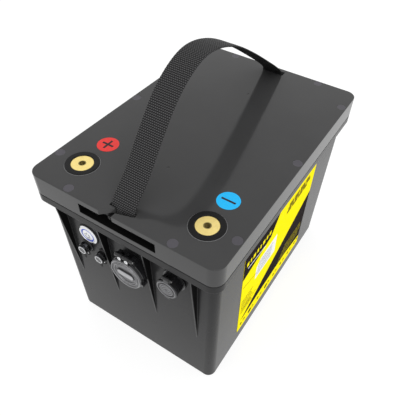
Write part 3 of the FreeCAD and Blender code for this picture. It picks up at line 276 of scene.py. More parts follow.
def ink(name, colour):
    """Label ink, matt enough to keep its colour when seen from the side."""
    return film(name, colour, 0.75, grain=0.04, shine=0.03, coat=0.0)


def foam(name, colour):
    """Open-celled foam."""
    f = Finish(name)
    cells = f.node("ShaderNodeTexVoronoi", {}, {"Vector": f.place, "Scale": 700.0})
    shade = f.colour(cells, colour, lighter(colour, 1.9))
    return f.surface(Base_Color=shade, Roughness=0.92, Normal=f.bump(cells, 0.6, 0.0004))


def lit(name, colour, strength):
    """A diffuser lit from behind, a little uneven."""
    f = Finish(name)
    uneven = f.noise(500.0, 2.0)
    glow = f.colour(uneven, colour, lighter(colour, 1.5))
    return f.surface(Base_Color=glow, Emission_Color=glow, Emission_Strength=strength, Roughness=0.3 + uneven * 0.1)


def woven(name, colour):
    """Nylon threads, with a painted highlight on the crowns of the weave and painted shade between them and on the
    band's underside.
    """
    f = Finish(name)
    crown = f.node("ShaderNodeAttribute", {"attribute_name": "crown"}, {}, "Fac")
    along = f.node("ShaderNodeAttribute", {"attribute_name": "along"}, {}, "Fac")
    across = f.node("ShaderNodeAttribute", {"attribute_name": "across"}, {}, "Fac")
    twist = ((across * 9.0 + along * 5.0) * 2.4 + f.noise(300.0) * 2.0).wave() * 0.5 + 0.5
    faded = f.noise(30.0, 4.0)
    # Painted highlight on the crowns and painted shade in the gaps between threads; the twist adds painted sheen
    # streaks on the crowns.
    shade = f.colour(f.band(crown, 0.35, 0.95), lighter(colour, 0.06), lighter(colour, 2.0))
    shade = f.colour(twist * crown * 0.35, shade, lighter(colour, 2.6))
    shade = f.colour(faded * 0.3, shade, lighter(colour, 0.7))
    # Painted shade: faces turned downwards are painted nearly black, as the band's underside would be in shade.
    upright = f.axes(f.node("ShaderNodeNewGeometry", {}, {}, "True Normal"))[2]
    shade = f.colour(f.band(upright, -0.35, 0.05), lighter(colour, 0.08), shade)
    return f.surface(Base_Color=shade, Roughness=0.52 + (1.0 - crown) * 0.3 + faded * 0.08,
                     Specular_IOR_Level=0.12, Sheen_Weight=0.03, Sheen_Roughness=0.4,
                     Normal=f.bump(twist * crown, 0.45, 0.00015))


def centre_of(name):
    low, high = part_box(name)
    return (low + high) / 2


CASE_BLACK = (0.019, 0.019, 0.0195)
LID_BLACK = (0.044, 0.044, 0.0445)
charge_centre = centre_of("charge_port_contacts")
aux_centre = centre_of("aux_port_contacts")

case_finish = moulded("moulded_case", CASE_BLACK, 0.24, grain=1100.0, depth=0.00002, edge_wear_and_highlight=0.3,
                      round_edge=0.0009, shine=0.09, painted_shade_places=fin_flanks_painted_shade)
lid_finish = moulded("moulded_lid", LID_BLACK, 0.1, grain=1300.0, depth=0.000006, edge_wear_and_highlight=0.3,
                     round_edge=0.0009, shine=0.22, painted_shade_places=recess_walls_painted_shade)
satin_black = moulded("satin_black", (0.014, 0.014, 0.015), 0.34)
glossy_black = moulded("glossy_black", PLASTIC_BLACK, 0.18, edge_wear_and_highlight=0.2)
plug_finish = moulded("plug_grey", (0.066, 0.062, 0.073), 0.42, grain=700.0, depth=0.00006, shine=0.3)
rim_grey = moulded("rim_grey", (0.14, 0.14, 0.143), 0.3, edge_wear_and_highlight=0.2)
bush_black = moulded("bush_black", (0.006, 0.006, 0.006), 0.25, edge_wear_and_highlight=0.1, shine=0.16)
rubber_finish = rubbery("black_rubber", (0.012, 0.012, 0.012))
steel_finish = plated("zinc_steel", (0.62, 0.62, 0.6), 0.3, stretch=(1.0, 6.0, 1.0))
chrome_finish = plated("chrome", (0.78, 0.79, 0.8), 0.09)
white_metal = turned_metal("button_face", (0.82, 0.83, 0.85), centre_of("power_button_cap"), (0, 2), 0.26)
badge_red = film("badge_red", (0.74, 0.03, 0.026), 0.4)
badge_blue = film("badge_blue", (0.004, 0.46, 0.9), 0.4)
mark_ink = film("badge_mark", (0.03, 0.02, 0.022), 0.4, shine=0.1)
yellow_ink = ink("label_yellow", (1.0, 0.86, 0.0))
black_ink = ink("label_black", (0.012, 0.008, 0.008))
white_ink = ink("label_white", (0.84, 0.85, 0.86))
olive_ink = ink("label_olive", (0.22, 0.18, 0.006))
grey_ink = ink("label_grey", (0.3, 0.31, 0.33))
blue_light = lit("blue_light", (0.008, 0.03, 0.25), 0.5)
green_board = moulded("solder_mask", (0.012, 0.16, 0.05), 0.3, grain=300.0)
cell_film = film("cell_film", (0.02, 0.12, 0.35), 0.35)
fibre = moulded("fibre_sheet", (0.55, 0.4, 0.16), 0.6, grain=200.0, depth=0.0001)
copper = plated("tinned_copper", (0.78, 0.42, 0.26), 0.28, stretch=(1.0, 5.0, 1.0))
grey_foam = foam("grey_foam", (0.05, 0.05, 0.052))
red_rubber = rubbery("red_silicone", (0.5, 0.012, 0.01), 0.55)
webbing = woven("nylon_webbing", (0.052, 0.052, 0.053))
brass = {side: turned_metal(f"brass_{side}", (1.0, 0.8, 0.3), centre_of(f"terminal_{side}"), (0, 1), 0.3,
                            hole_shade_radius=0.0043)
         for side in ("positive", "negative")}
charge_metal = turned_metal("charge_cap_metal", (0.17, 0.17, 0.175), charge_centre, (0, 2), 0.3, pitch=0.0009,
                            collar=0.0216)
aux_metal = turned_metal("aux_cap_metal", (0.075, 0.075, 0.078), aux_centre, (0, 2), 0.3, pitch=0.0009,
                         collar=0.0133)
ring_metal = plated("ring_metal", (0.36, 0.36, 0.37), 0.25)
pad_metal = plated("pad_metal", (0.42, 0.42, 0.43), 0.3, stretch=(5.0, 1.0, 1.0))
gun_metal = plated("gun_metal", (0.1, 0.1, 0.105), 0.2)

FINISHES = {
    case_finish: ["case_shell"],
    lid_finish: ["lid"],
    plug_finish: ["screw_plugs"],
    rubber_finish: ["lid_gasket", "terminal_seals", "button_seal", "charge_port_gasket", "aux_port_gasket",
                    "cap_tether_left", "cap_tether_right", "cap_loop_left", "cap_loop_right", "button_spring",
                    "negative_lead", "cell_return_lead"],
    steel_finish: ["lid_screws", "terminal_washers", "cell_nuts", "socket_nuts", "button_nut",
                   "charge_port_pin", "aux_port_pin", "compression_bands", "heat_sink"],
    chrome_finish: ["button_housing"],
    gun_metal: ["signal_cap_left", "signal_cap_right"],
    white_metal: ["power_button_cap"],
    blue_light: ["button_light_ring"],
    satin_black: ["strap_rods", "button_switch", "socket_inserts", "charge_port_contacts", "aux_port_contacts",
                  "charge_port_nut", "aux_port_nut", "signal_socket_left", "signal_socket_right"],
    glossy_black: ["charge_port_housing", "aux_port_housing"],
    bush_black: ["terminal_bush_positive", "terminal_bush_negative"],
    brass["positive"]: ["terminal_positive", "terminal_nuts"],
    brass["negative"]: ["terminal_negative"],
    badge_red: ["polarity_badge_positive"],
    badge_blue: ["polarity_badge_negative"],
    charge_metal: ["charge_port_cap"],
    aux_metal: ["aux_port_cap"],
    yellow_ink: ["side_label"],
    cell_film: ["cells"],
    fibre: ["cell_spacers", "end_plates"],
    grey_foam: ["base_pad"],
    copper: ["bus_bars", "lead_lugs"],
    red_rubber: ["positive_lead"],
    green_board: ["protection_board"],
    webbing: ["carry_strap"],
}
for material, names in FINISHES.items():
    for name in names:
        nodes[name].data.materials.clear()
        nodes[name].data.materials.append(material)


# ------------------------------------------------------------ mesh and tree help

def add_mesh(name, vertices, faces, material):
    """A new object at the origin from vertices in metres."""
    mesh = bpy.data.meshes.new(name)
    mesh.from_pydata([tuple(vertex) for vertex in vertices], [], faces)
    mesh.materials.append(material)
    made = bpy.data.objects.new(name, mesh)
    bpy.context.scene.collection.objects.link(made)
    return made


def close_normals(made, smooth=30.0):
    """Point the faces outwards and shade gentle turns smooth."""
    shape = bmesh.new()
    shape.from_mesh(made.data)
    bmesh.ops.remove_doubles(shape, verts=shape.verts, dist=1e-7)
    bmesh.ops.recalc_face_normals(shape, faces=shape.faces)
    for face in shape.faces:
        face.smooth = True
    for edge in shape.edges:
        edge.smooth = len(edge.link_faces) == 2 and edge.calc_face_angle(0) < math.radians(smooth)
    shape.to_mesh(made.data)
    shape.free()
    return made


def slab(name, outlines, thickness, to_place, material, bevel=0.0):
    """Flat pieces of even thickness from outlines; to_place puts (across, up, out) where it belongs."""
    vertices, faces = [], []
    for outline in outlines:
        start, count = len(vertices), len(outline)
        for out in (0.0, thickness):
            vertices += [to_place(across, up, out) for across, up in outline]
        faces.append([start + index for index in reversed(range(count))])
        faces.append([start + count + index for index in range(count)])
        for index in range(count):
            after = (index + 1) % count
            faces.append([start + index, start + after, start + count + after, start + count + index])
    made = close_normals(add_mesh(name, vertices, faces, material))
    if bevel:
        rounding = made.modifiers.new("rounding", "BEVEL")
        rounding.width = bevel
        rounding.segments = 2
        rounding.limit_method = "ANGLE"
    return made


def on_level(centre, height):
    """Puts (across, up, out) on a level surface, with up towards the back."""
    return lambda across, up, out: Vector((centre.x + across, centre.y + up, height + out))


def in_front(x, front, z):
    """Puts (across, up, out) on an upright surface, with out towards the viewer."""
    return lambda across, up, out: Vector((x + across, front - out, z + up))


def facing(name):
    """Puts (across, up, out) on the middle of a node's front."""
    low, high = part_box(name)
    middle = (low + high) / 2
    return in_front(middle.x, low.y, middle.z)


def bar_outline(centre, length, width, turn=0.0, ends=0):
    """A bar's outline, with round ends when ends is above 0."""
    half_length, half_width = length / 2, width / 2
    points = []
    if ends:
        for side in (1, -1):
            for step in range(ends + 1):
                angle = math.radians(-90 + 180 * step / ends + (0 if side > 0 else 180))
                points.append((side * (half_length - half_width) + half_width * math.cos(angle),
                               half_width * math.sin(angle)))
    else:
        points = [(-half_length, -half_width), (half_length, -half_width), (half_length, half_width),
                  (-half_length, half_width)]
    cos, sin = math.cos(turn), math.sin(turn)
    return [(centre[0] + x * cos - y * sin, centre[1] + x * sin + y * cos) for x, y in points]


def lathe(name, profile, to_place, material, steps=96):
    """A ring turned from a closed (radius, out) profile."""
    vertices, faces, count = [], [], len(profile)
    for step in range(steps):
        angle = 2 * math.pi * step / steps
        vertices += [to_place(radius * math.cos(angle), radius * math.sin(angle), out) for radius, out in profile]
    for step in range(steps):
        near, far = step * count, (step + 1) % steps * count
        for index in range(count):
            after = (index + 1) % count
            faces.append([near + index, near + after, far + after, far + index])
    return close_normals(add_mesh(name, vertices, faces, material))


def ridge(radius, out, width, height):
    """A small rounded ridge's profile for lathe."""
    half = width / 2
    crown = [(radius + half * math.cos(math.radians(angle)), out + height * max(0.0, math.sin(math.radians(angle))))
             for angle in range(0, 181, 30)]
    return crown + [(radius - half, out - height), (radius + half, out - height)]


def joined(name, pieces):
    """Several meshes as one piece."""
    shape = bpy.data.meshes.new(name)
    merged = bmesh.new()
    for piece in pieces:
        merged.from_mesh(piece.data)
    merged.to_mesh(shape)
    merged.free()
    shape.materials.append(pieces[0].data.materials[0])
    made = bpy.data.objects.new(name, shape)
    bpy.context.scene.collection.objects.link(made)
    for piece in pieces:
        bpy.data.objects.remove(piece)
    return made


class Grower:
    """A geometry node tree with named inputs."""

    def __init__(self, name, **inputs):
        self.tree = bpy.data.node_groups.new(name, "GeometryNodeTree")
        self.identifiers = {}
        face = self.tree.interface
        face.new_socket("Geometry", in_out="INPUT", socket_type="NodeSocketGeometry")
        face.new_socket("Geometry", in_out="OUTPUT", socket_type="NodeSocketGeometry")
        for label, kind in inputs.items():
            made = face.new_socket(label.replace("_", " "), in_out="INPUT", socket_type=kind)
            self.identifiers[label] = made.identifier
        self.entry = self.tree.nodes.new("NodeGroupInput")
        self.exit = self.tree.nodes.new("NodeGroupOutput")

    def given(self, label):
        return self.entry.outputs[label.replace("_", " ")]

    def node(self, kind, settings=None, inputs=None, output=0):
        made = self.tree.nodes.new(kind)
        for key, setting in (settings or {}).items():
            setattr(made, key, setting)
        for key, value in (inputs or {}).items():
            if isinstance(value, bpy.types.NodeSocket):
                self.tree.links.new(value, made.inputs[key])
            else:
                made.inputs[key].default_value = value
        return made.outputs[output]

    def maths(self, operation, *values):
        return self.node("ShaderNodeMath", {"operation": operation}, dict(enumerate(values)))

    def end(self, geometry):
        real = self.node("GeometryNodeRealizeInstances", {}, {"Geometry": geometry})
        done = self.node("GeometryNodeSetMaterial", {}, {"Geometry": real, "Material": self.given("Material")})
        self.tree.links.new(done, self.exit.inputs["Geometry"])

    def grow(self, carrier, name, material, **values):
        """Run the tree on a carrier object and return the plain mesh that it makes."""
        modifier = carrier.modifiers.new("grow", "NODES")
        modifier.node_group = self.tree
        modifier[self.identifiers["Material"]] = material
        for label, value in values.items():
            modifier[self.identifiers[label]] = value
        bpy.context.view_layer.update()
        evaluated = carrier.evaluated_get(bpy.context.evaluated_depsgraph_get())
        mesh = bpy.data.meshes.new_from_object(evaluated)
        mesh.name = name
        made = bpy.data.objects.new(name, mesh)
        bpy.context.scene.collection.objects.link(made)
        bpy.data.objects.remove(carrier)
        if not mesh.materials:
            mesh.materials.append(material)
        return made


def empty_carrier():
    return add_mesh("carrier", [(0, 0, 0)], [], case_finish)


# ------------------------------------------------------------------- the strap

def strap_stations(count):
    """Even steps along the strap's middle: out of the front recess, over the lid and down to the other rod."""
    front, back = -168.6, 168.6
    loop, loop_bottom, loop_top = 7.6, 251.2, 258.8
    # The arch, as shares of the way back and of the rise.
    arch = [(0.0, 0.04), (0.075, 0.22), (0.155, 0.52), (0.235, 0.79), (0.33, 0.968), (0.43, 1.008),
            (0.56, 0.888), (0.684, 0.674), (0.832, 0.383), (0.951, 0.141), (1.0, 0.017)]
    corners = [(front - loop, loop_top), (front - loop, loop_bottom), (front, loop_bottom)]
    corners += [(front + (back - front) * share, LID_TOP + STRAP_RISE * rise) for share, rise in arch]
    corners += [(back, loop_bottom), (back + loop, loop_bottom), (back + loop, loop_top)]
    corners = [Vector((0, along, up)) * MM for along, up in corners]

    # Each corner is rounded between the middles of its two runs.
    steps = 24
    middles = [(first + second) / 2 for first, second in zip(corners, corners[1:])]
    line = [corners[0]]
    for before, corner, after in zip(middles, corners[1:], middles[1:]):
        for step in range(steps):
            share = step / steps
            line.append(before * (1 - share) ** 2 + corner * 2 * share * (1 - share) + after * share ** 2)
    line += [middles[-1], corners[-1]]
    lengths = [0.0]
    for first, second in zip(line, line[1:]):
        lengths.append(lengths[-1] + (second - first).length)

    stations, spot = [], 0
    for index in range(count + 1):
        wanted = lengths[-1] * index / count
        while spot < len(lengths) - 2 and lengths[spot + 1] < wanted:
            spot += 1
        share = (wanted - lengths[spot]) / max(1e-9, lengths[spot + 1] - lengths[spot])
        stations.append((line[spot].lerp(line[spot + 1], share), wanted))
    return stations


def plain_strap():
    """The strap's even band, with each point's place along and across it in millimetres."""
    low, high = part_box("carry_strap")
    half_width = (high.x - low.x) / 2
    half_thickness, edge_inset = 0.92 * MM, 0.3 * MM
    rows, columns, squareness = 780, 46, 16
    stations = strap_stations(rows)
    sides = [-1 + 2 * column / columns for column in range(columns + 1)]
    section = [(side, (1 - abs(side) ** squareness) ** 0.5) for side in sides]
    ring = [(side, 1, height) for side, height in section]
    ring += [(side, -1, height) for side, height in reversed(section[1:-1])]

    vertices, along, across = [], [], []
    for index, (spot, distance) in enumerate(stations):
        ahead = stations[min(index + 1, rows)][0] - stations[max(index - 1, 0)][0]
        normal = Vector((1, 0, 0)).cross(ahead).normalized()
        wander = 0.15 * MM * math.sin(distance * 41.0) + 0.1 * MM * math.sin(distance * 113.0)
        for side, face, height in ring:
            vertices.append(spot + Vector((side * (half_width - edge_inset) + wander, 0, 0))
                            + normal * face * height * half_thickness)
            along.append(distance / MM)
            across.append(side * half_width / MM)
    count = len(ring)
    faces = [[row * count + index, row * count + (index + 1) % count,
              (row + 1) * count + (index + 1) % count, (row + 1) * count + index]
             for row in range(rows) for index in range(count)]
    faces += [list(range(count)), [rows * count + index for index in reversed(range(count))]]
    plain = add_mesh("strap_carrier", vertices, faces, webbing)
    for label, numbers in (("along", along), ("across", across)):
        plain.data.attributes.new(label, "FLOAT", "POINT").data.foreach_set("value", numbers)
    shape = bmesh.new()
    shape.from_mesh(plain.data)
    bmesh.ops.recalc_face_normals(shape, faces=shape.faces)
    shape.to_mesh(plain.data)
    shape.free()
    return plain


def weave():
    """Rows of raised threads, each row shifted by half a thread."""
    tree = Grower("weave", Thread_width="NodeSocketFloat", Row_height="NodeSocketFloat",
                  Depth="NodeSocketFloat", Material="NodeSocketMaterial")
    lengthwise = tree.node("GeometryNodeInputNamedAttribute", {"data_type": "FLOAT"}, {"Name": "along"})
    crosswise = tree.node("GeometryNodeInputNamedAttribute", {"data_type": "FLOAT"}, {"Name": "across"})
    row_place = tree.maths("DIVIDE", lengthwise, tree.given("Row_height"))
    shift = tree.maths("MULTIPLY", tree.maths("FLOORED_MODULO", tree.maths("FLOOR", row_place), 2.0), 0.5)
    thread_place = tree.maths("ADD", tree.maths("DIVIDE", crosswise, tree.given("Thread_width")), shift)
    row_swell = tree.maths("ABSOLUTE", tree.maths("SINE", tree.maths("MULTIPLY", row_place, math.pi)))
    thread_swell = tree.maths("ABSOLUTE", tree.maths("SINE", tree.maths("MULTIPLY", thread_place, math.pi)))
    crown = tree.maths("MULTIPLY", row_swell, tree.maths("POWER", thread_swell, 0.6))
    lift = tree.maths("MULTIPLY", crown, tree.given("Depth"))
    normal = tree.node("GeometryNodeInputNormal")
    offset = tree.node("ShaderNodeVectorMath", {"operation": "SCALE"}, {0: normal, "Scale": lift})
    stored = tree.node("GeometryNodeStoreNamedAttribute", {"data_type": "FLOAT", "domain": "POINT"},
                       {"Geometry": tree.given("Geometry"), "Name": "crown", "Value": crown})
    tree.end(tree.node("GeometryNodeSetPosition", {}, {"Geometry": stored, "Offset": offset}))
    return tree


def build_strap():
    strap = weave().grow(plain_strap(), "webbing_strap", webbing, Thread_width=2.4, Row_height=2.3,
                         Depth=0.42 * MM)
    for face in strap.data.polygons:
        face.use_smooth = True
    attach(strap, "pack")
    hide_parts("carry_strap")


# ------------------------------------------------------- terminals and badges

def build_lid_details():
    """The marks on both badges, a screw thread in each terminal and a rim round each bush."""
    badge_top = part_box("polarity_badge_positive")[1].z
    sunk, thickness = 0.05 * MM, 0.13 * MM
    plus = [bar_outline((0, 0), 15.5 * MM, 2.7 * MM)]
    plus += [bar_outline((0, side * 4.55 * MM), 2.7 * MM, 6.4 * MM) for side in (1, -1)]
    minus = [bar_outline((0, 0), 17.5 * MM, 2.5 * MM)]
    for name, badge, outlines in (("plus_mark", "positive", plus), ("minus_mark", "negative", minus)):
        place = on_level(centre_of(f"polarity_badge_{badge}"), badge_top - sunk)
        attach(slab(name, outlines, thickness, place, mark_ink), "pack")

    # One coil of small ridges serves as both threads.
    tree = Grower("inner_thread", Radius="NodeSocketFloat", Turns="NodeSocketFloat", Height="NodeSocketFloat",
                  Ridge="NodeSocketFloat", Place="NodeSocketVector", Material="NodeSocketMaterial")
    coil = tree.node("GeometryNodeCurveSpiral", {}, {"Resolution": 28, "Rotations": tree.given("Turns"),
                                                     "Start Radius": tree.given("Radius"),
                                                     "End Radius": tree.given("Radius"),
                                                     "Height": tree.given("Height")})
    section = tree.node("GeometryNodeCurvePrimitiveCircle", {}, {"Resolution": 6, "Radius": tree.given("Ridge")})
    ridges = tree.node("GeometryNodeCurveToMesh", {}, {"Curve": coil, "Profile Curve": section, "Fill Caps": True})
    placed = tree.node("GeometryNodeTransform", {}, {"Geometry": ridges, "Translation": tree.given("Place")})
    tree.end(placed)
    for side in ("positive", "negative"):
        low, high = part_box(f"terminal_{side}")
        centre = (low + high) / 2
        thread = tree.grow(empty_carrier(), f"terminal_thread_{side}", brass[side], Radius=3.4 * MM, Turns=10.0,
                           Height=12.5 * MM, Ridge=0.3 * MM, Place=(centre.x, centre.y, high.z - 13.8 * MM))
        close_normals(thread)
        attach(thread, "pack")
        bush = centre_of(f"terminal_bush_{side}")
        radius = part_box(f"terminal_bush_{side}")[1].x - bush.x
        rim = lathe(f"bush_rim_{side}", ridge(radius + 0.15 * MM, 0.0, 0.9 * MM, 0.35 * MM),
                    on_level(bush, LID_TOP * MM), rim_grey, 128)
        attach(rim, "pack")


# ---------------------------------------------------------------- side label

def build_label():
    """Printed shapes on the label, in millimetres along the pack and up from the base."""
    low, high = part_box("side_label")
    sheet, layer = 0.3 * MM, 0.06 * MM
    lean = (high.x - low.x - sheet) / (high.z - low.z)

    def on_wall(level):
        def to_place(along, up, out):
            wall = low.x + sheet + lean * (up - low.z)
            return Vector((wall + (level - 1) * layer + out, along, up))
        return to_place

    def scaled(points):
        return [(along * MM, up * MM) for along, up in points]

    def print_layer(name, level, material, outlines):
        made = slab(name, [scaled(outline) for outline in outlines], layer * 0.9, on_wall(level), material)
        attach(made, "pack")

    # The sheet is a parallelogram, and the printed areas stop a margin inside its edges.
    margin = 0.1
    bottom, top = low.z / MM + margin, high.z / MM - margin
    front_top, front_bottom = low.y / MM, -102.5
    back_top, back_bottom = 87.5, high.y / MM

    def front(up):
        return front_bottom + (front_top - front_bottom) * (up - bottom) / (top - bottom) + margin

    def back(up):
        return back_bottom + (back_top - back_bottom) * (up - bottom) / (top - bottom) - margin

    print_layer("label_black_areas", 1, black_ink, [
        [(front(160.7), 160.7), (-41.0, 175.5), (-22.0, top), (front(top), top)],
        [(-97.8, 50.0), (-30.0, 54.0), (40.0, 54.0), (back(44.0), 44.0), (back(151.0), 151.0)],
    ])
    print_layer("label_white_block", 1, white_ink,
                [[(-71.0, 119.0), (-15.0, 119.5), (-18.0, 159.0), (-62.7, 156.0), (-71.8, 145.0)]])

    # Rows of short bars stand where the print has words.
    last_end, slant = 92.0, 9.0

    def rows(start, step, count, lengths, height, slope):
        made = []
        for line in range(count):
            along = start[0] + step[0] * line
            up = start[1] + step[1] * line
            for length in lengths[line % len(lengths)]:
                if along + length > last_end - slant * (up - bottom) / (top - bottom):
                    break
                made.append(bar_outline((along + length / 2, up + slope * length / 2), length, height,
                                        math.atan(slope)))
                pitch = length + height * 0.5
                along += pitch
                up += slope * pitch
        return made

    heading = rows((-104.0, 187.0), (0, 0), 1, [[5, 3, 6, 4, 3, 6, 4, 5]], 7.0, 0.02)
    print_layer("label_heading", 2, yellow_ink, heading)
    print_layer("label_heading_rule", 2, white_ink, [bar_outline((-77.0, 174.5), 46.0, 1.8, -0.1)])
    notes = rows((-67.0, 151.0), (-0.3, -4.4), 7, [[5, 8, 4, 9, 3, 7], [9, 3, 6, 8, 9], [4, 4, 10, 7, 11]], 1.5, 0.0)
    print_layer("label_notes", 2, grey_ink, notes)
    motto = rows((3.0, 180.0), (2.0, 6.0), 3, [[13, 15, 14, 12], [16, 14, 18, 12]], 5.2, 0.06)
    print_layer("label_motto", 2, olive_ink, motto)
    details = rows((14.0, 60.0), (3.0, 5.0), 6, [[6, 9, 5, 11, 4, 8, 9, 6, 9], [12, 4, 7, 9, 6, 11, 8]], 3.0, 0.0)
    print_layer("label_details", 2, olive_ink, details)
    lines = rows((-103.0, 104.0), (0.4, -5.2), 7, [[9, 5, 8, 7], [6, 10, 9], [7, 4, 6, 5, 4]], 1.2, 0.0)
    print_layer("label_small_lines", 2, black_ink, lines)
    rules = [bar_outline((-86.5, 136.0), 38.0, 0.7, -0.24), bar_outline((-80.0, 80.0), 40.0, 0.7, 0.1)]
    print_layer("label_rules", 2, black_ink, rules)
    marks, up = [], 38.0
    for index in range(8):
        along = -94.0 + index * 25.0
        size = 9.0 if index in (1, 3) else 5.5
        marks.append(bar_outline((along, up), size, size, 0.0, 8))
        marks.append(bar_outline((along + 8.5, up), 6.0, 1.4))
        marks.append(bar_outline((along + 8.5, up + 2.8), 4.5, 1.4))
    print_layer("label_marks", 2, black_ink, marks)


# ------------------------------------------------------------- front panel

def build_button():
    """A generic on/off mark on the button, and a step in its bezel."""
    steps, radius, width, sunk = 30, 3.5, 0.75, 0.32 * MM
    start, sweep = 125, 290

    def arc(radius, shares):
        angles = [math.radians(start + sweep * share / steps) for share in shares]
        return [(radius * MM * math.cos(angle), radius * MM * math.sin(angle)) for angle in angles]

    open_ring = arc(radius + width / 2, range(steps + 1)) + arc(radius - width / 2, reversed(range(steps + 1)))
    stroke = bar_outline((0, 2.9 * MM), 3.6 * MM, width * MM, math.pi / 2, 6)
    face = facing("power_button_cap")
    mark = slab("power_icon", [open_ring, stroke], 0.4 * MM, lambda x, y, out: face(x, y, out - sunk), grey_ink)
    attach(mark, "power_button")
    rim = lathe("bezel_step", ridge(11.3 * MM, 0.0, 1.5 * MM, 0.25 * MM), facing("button_housing"), chrome_finish)
    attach(rim, "pack")


def build_caps():
    """Raised rings on both hinged caps, ribs round the medium socket and grips on the small screw caps."""
    charge, aux = charge_centre, aux_centre
    charge_face, aux_face = (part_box(name)[0].y for name in ("charge_port_cap", "aux_port_cap"))
    rim_height = 0.7 * MM
    on_charge = in_front(charge.x, charge_face + rim_height, charge.z)
    rings = [lathe("ring", ridge(radius * MM, rise * MM, width * MM, 0.3 * MM), on_charge, ring_metal)
             for radius, rise, width in ((20.3, 0.7, 0.9), (16.4, 0.0, 0.7), (13.9, 0.0, 0.6))]
    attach(joined("charge_cap_rings", rings), "charge_cap")
    plate = slab("charge_cap_plate", [bar_outline((0, 0), 25.4 * MM, 10.4 * MM, 0.0, 12)], 0.3 * MM, on_charge,
                 glossy_black, 0.12 * MM)
    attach(plate, "charge_cap")
    pad = slab("charge_cap_pad", [bar_outline((0, 0), 22.5 * MM, 7.4 * MM, 0.0, 12)], 1.05 * MM, on_charge,
               pad_metal, 0.3 * MM)
    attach(pad, "charge_cap")
    studs = [lathe("knuckle_end", ridge(1.6 * MM, 0.0, 1.6 * MM, 0.5 * MM),
                   in_front(charge.x + side * 4.8 * MM, charge_face - 0.1 * MM, charge.z + 27.0 * MM),
                   chrome_finish, 24) for side in (1, -1)]
    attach(joined("charge_knuckle_studs", studs), "charge_cap")

    rings = [lathe("ring", ridge(radius * MM, 0.0, 0.6 * MM, 0.26 * MM), in_front(aux.x, aux_face, aux.z),
                   ring_metal) for radius in (11.6, 8.0, 5.6, 3.0)]
    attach(joined("aux_cap_rings", rings), "aux_cap")

    # Each signal cap has a bright rim, and its tether ends in a rubber ring with a small bright tag.
    for side in ("left", "right"):
        middle = centre_of(f"signal_cap_{side}")
        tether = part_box(f"cap_tether_{side}")[0]
        on_tether = in_front(middle.x, tether.y, tether.z + 3.4 * MM)
        rim = lathe(f"cap_rim_{side}", ridge(5.0 * MM, 0.0, 0.9 * MM, 0.35 * MM), facing(f"signal_cap_{side}"),
                    chrome_finish, 48)
        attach(rim, f"{side}_cap")
        ring = lathe(f"tether_ring_{side}", ridge(2.9 * MM, 0.6 * MM, 1.5 * MM, 0.7 * MM), on_tether,
                     rubber_finish, 40)
        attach(ring, "pack")
        tag = slab(f"tether_tag_{side}", [bar_outline((0.6 * MM, -0.4 * MM), 2.6 * MM, 1.5 * MM, 0.9, 6)], 0.8 * MM,
                   on_tether, chrome_finish, 0.2 * MM)
        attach(tag, "pack")

    # Ribs round a barrel: one rib copied to points on a circle.
    tree = Grower("barrel_ribs", Count="NodeSocketInt", Radius="NodeSocketFloat", Length="NodeSocketFloat",
                  Width="NodeSocketFloat", Depth="NodeSocketFloat", Place="NodeSocketVector",
                  Material="NodeSocketMaterial")
    circle = tree.node("GeometryNodeMeshCircle", {}, {"Vertices": tree.given("Count"),
                                                      "Radius": tree.given("Radius")})
    size = tree.node("ShaderNodeCombineXYZ", {}, {"X": tree.given("Depth"), "Y": tree.given("Width"),
                                                  "Z": tree.given("Length")})
    rib = tree.node("GeometryNodeMeshCube", {}, {"Size": size})
    spot = tree.node("GeometryNodeInputPosition")
    turn = tree.node("FunctionNodeAlignRotationToVector", {"axis": "X"}, {"Vector": spot})
    copies = tree.node("GeometryNodeInstanceOnPoints", {}, {"Points": circle, "Instance": rib, "Rotation": turn})
    placed = tree.node("GeometryNodeTransform", {}, {"Geometry": copies, "Translation": tree.given("Place"),
                                                     "Rotation": (math.pi / 2, 0, 0)})
    tree.end(placed)

    def ribs(name, material, place, count, radius, length, depth):
        made = tree.grow(empty_carrier(), name, material, Count=count, Radius=radius * MM, Length=length * MM,
                         Width=0.9 * MM, Depth=depth * MM, Place=tuple(place))
        return close_normals(made)

    barrel = ribs("aux_barrel_ribs", glossy_black, (aux.x, aux_face + 9.2 * MM, aux.z), 44, 12.45, 8.6, 0.6)
    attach(barrel, "pack")
    for side in ("left", "right"):
        place = facing(f"signal_cap_{side}")(0, 0, -5.4 * MM)
        grip = ribs(f"cap_grip_{side}", gun_metal, place, 20, 7.3, 3.2, 0.35)
        grip.modifiers.new("rounding", "BEVEL").width = 0.12 * MM
        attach(grip, f"{side}_cap")


build_strap()
build_lid_details()
build_label()
build_button()
build_caps()


# ------------------------------------------------------------ stage and camera

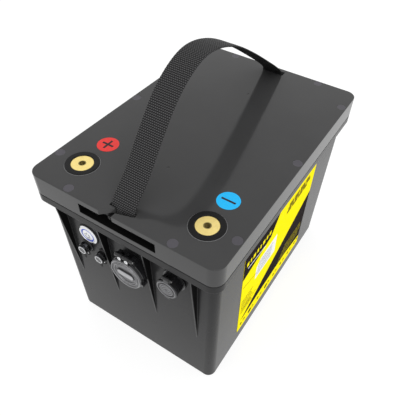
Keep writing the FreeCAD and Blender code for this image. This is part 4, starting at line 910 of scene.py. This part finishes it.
def build_stage():
    """A pale floor that glows slightly, a white surround and one soft lamp."""
    f = Finish("pale_floor")
    paper = f.noise(3.0)
    pale = f.surface(
        Base_Color=f.colour(paper, (0.25, 0.25, 0.25), (0.28, 0.28, 0.28)), Roughness=0.9, Specular_IOR_Level=0.0,
        Emission_Color=f.colour(paper, (0.98, 0.98, 0.98), (1.0, 1.0, 1.0)), Emission_Strength=0.8)
    reach = 6
    add_mesh("floor", [(-reach, -reach, 0), (reach, -reach, 0), (reach, reach, 0), (-reach, reach, 0)],
                      [[0, 1, 2, 3]], pale)

    world = bpy.data.worlds.new("studio")
    bpy.context.scene.world = world
    world.use_nodes = True
    background = world.node_tree.nodes["Background"]
    background.inputs["Color"].default_value = (1, 1, 1, 1)
    background.inputs["Strength"].default_value = 1.0

    place, target = Vector((1.3, -1.0, 1.9)), Vector((0, 0, 0.15))
    light = bpy.data.lights.new("key", "AREA")
    light.shape = "RECTANGLE"
    light.size, light.size_y, light.energy = 1.4, 1.4, 10.0
    lamp = bpy.data.objects.new("key", light)
    bpy.context.scene.collection.objects.link(lamp)
    lamp.location = place
    lamp.rotation_euler = (target - place).to_track_quat("-Z", "Y").to_euler()


def build_camera():
    """The viewpoint: azimuth from the front, height above the level, and a slight roll."""
    azimuth, elevation, roll = (math.radians(angle) for angle in (29.77, 46.48, 3.04))
    place = Vector((0.2377, -0.3893, 0.6043))
    back = Vector((math.sin(azimuth) * math.cos(elevation), -math.cos(azimuth) * math.cos(elevation),
                   math.sin(elevation)))
    right = (-back).cross(Vector((0, 0, 1))).normalized()
    up = right.cross(-back)
    side = right * math.cos(roll) + up * math.sin(roll)
    above = up * math.cos(roll) - right * math.sin(roll)
    data = bpy.data.cameras.new("camera")
    data.sensor_width, data.lens = 36.0, 38.74
    data.shift_x = -0.0233
    data.clip_start = 0.01
    camera = bpy.data.objects.new("camera", data)
    bpy.context.scene.collection.objects.link(camera)
    camera.matrix_world = Matrix.Translation(place) @ Matrix((side, above, back)).transposed().to_4x4()
    bpy.context.scene.camera = camera
    bpy.context.scene.view_settings.view_transform = "Standard"


build_stage()
build_camera()
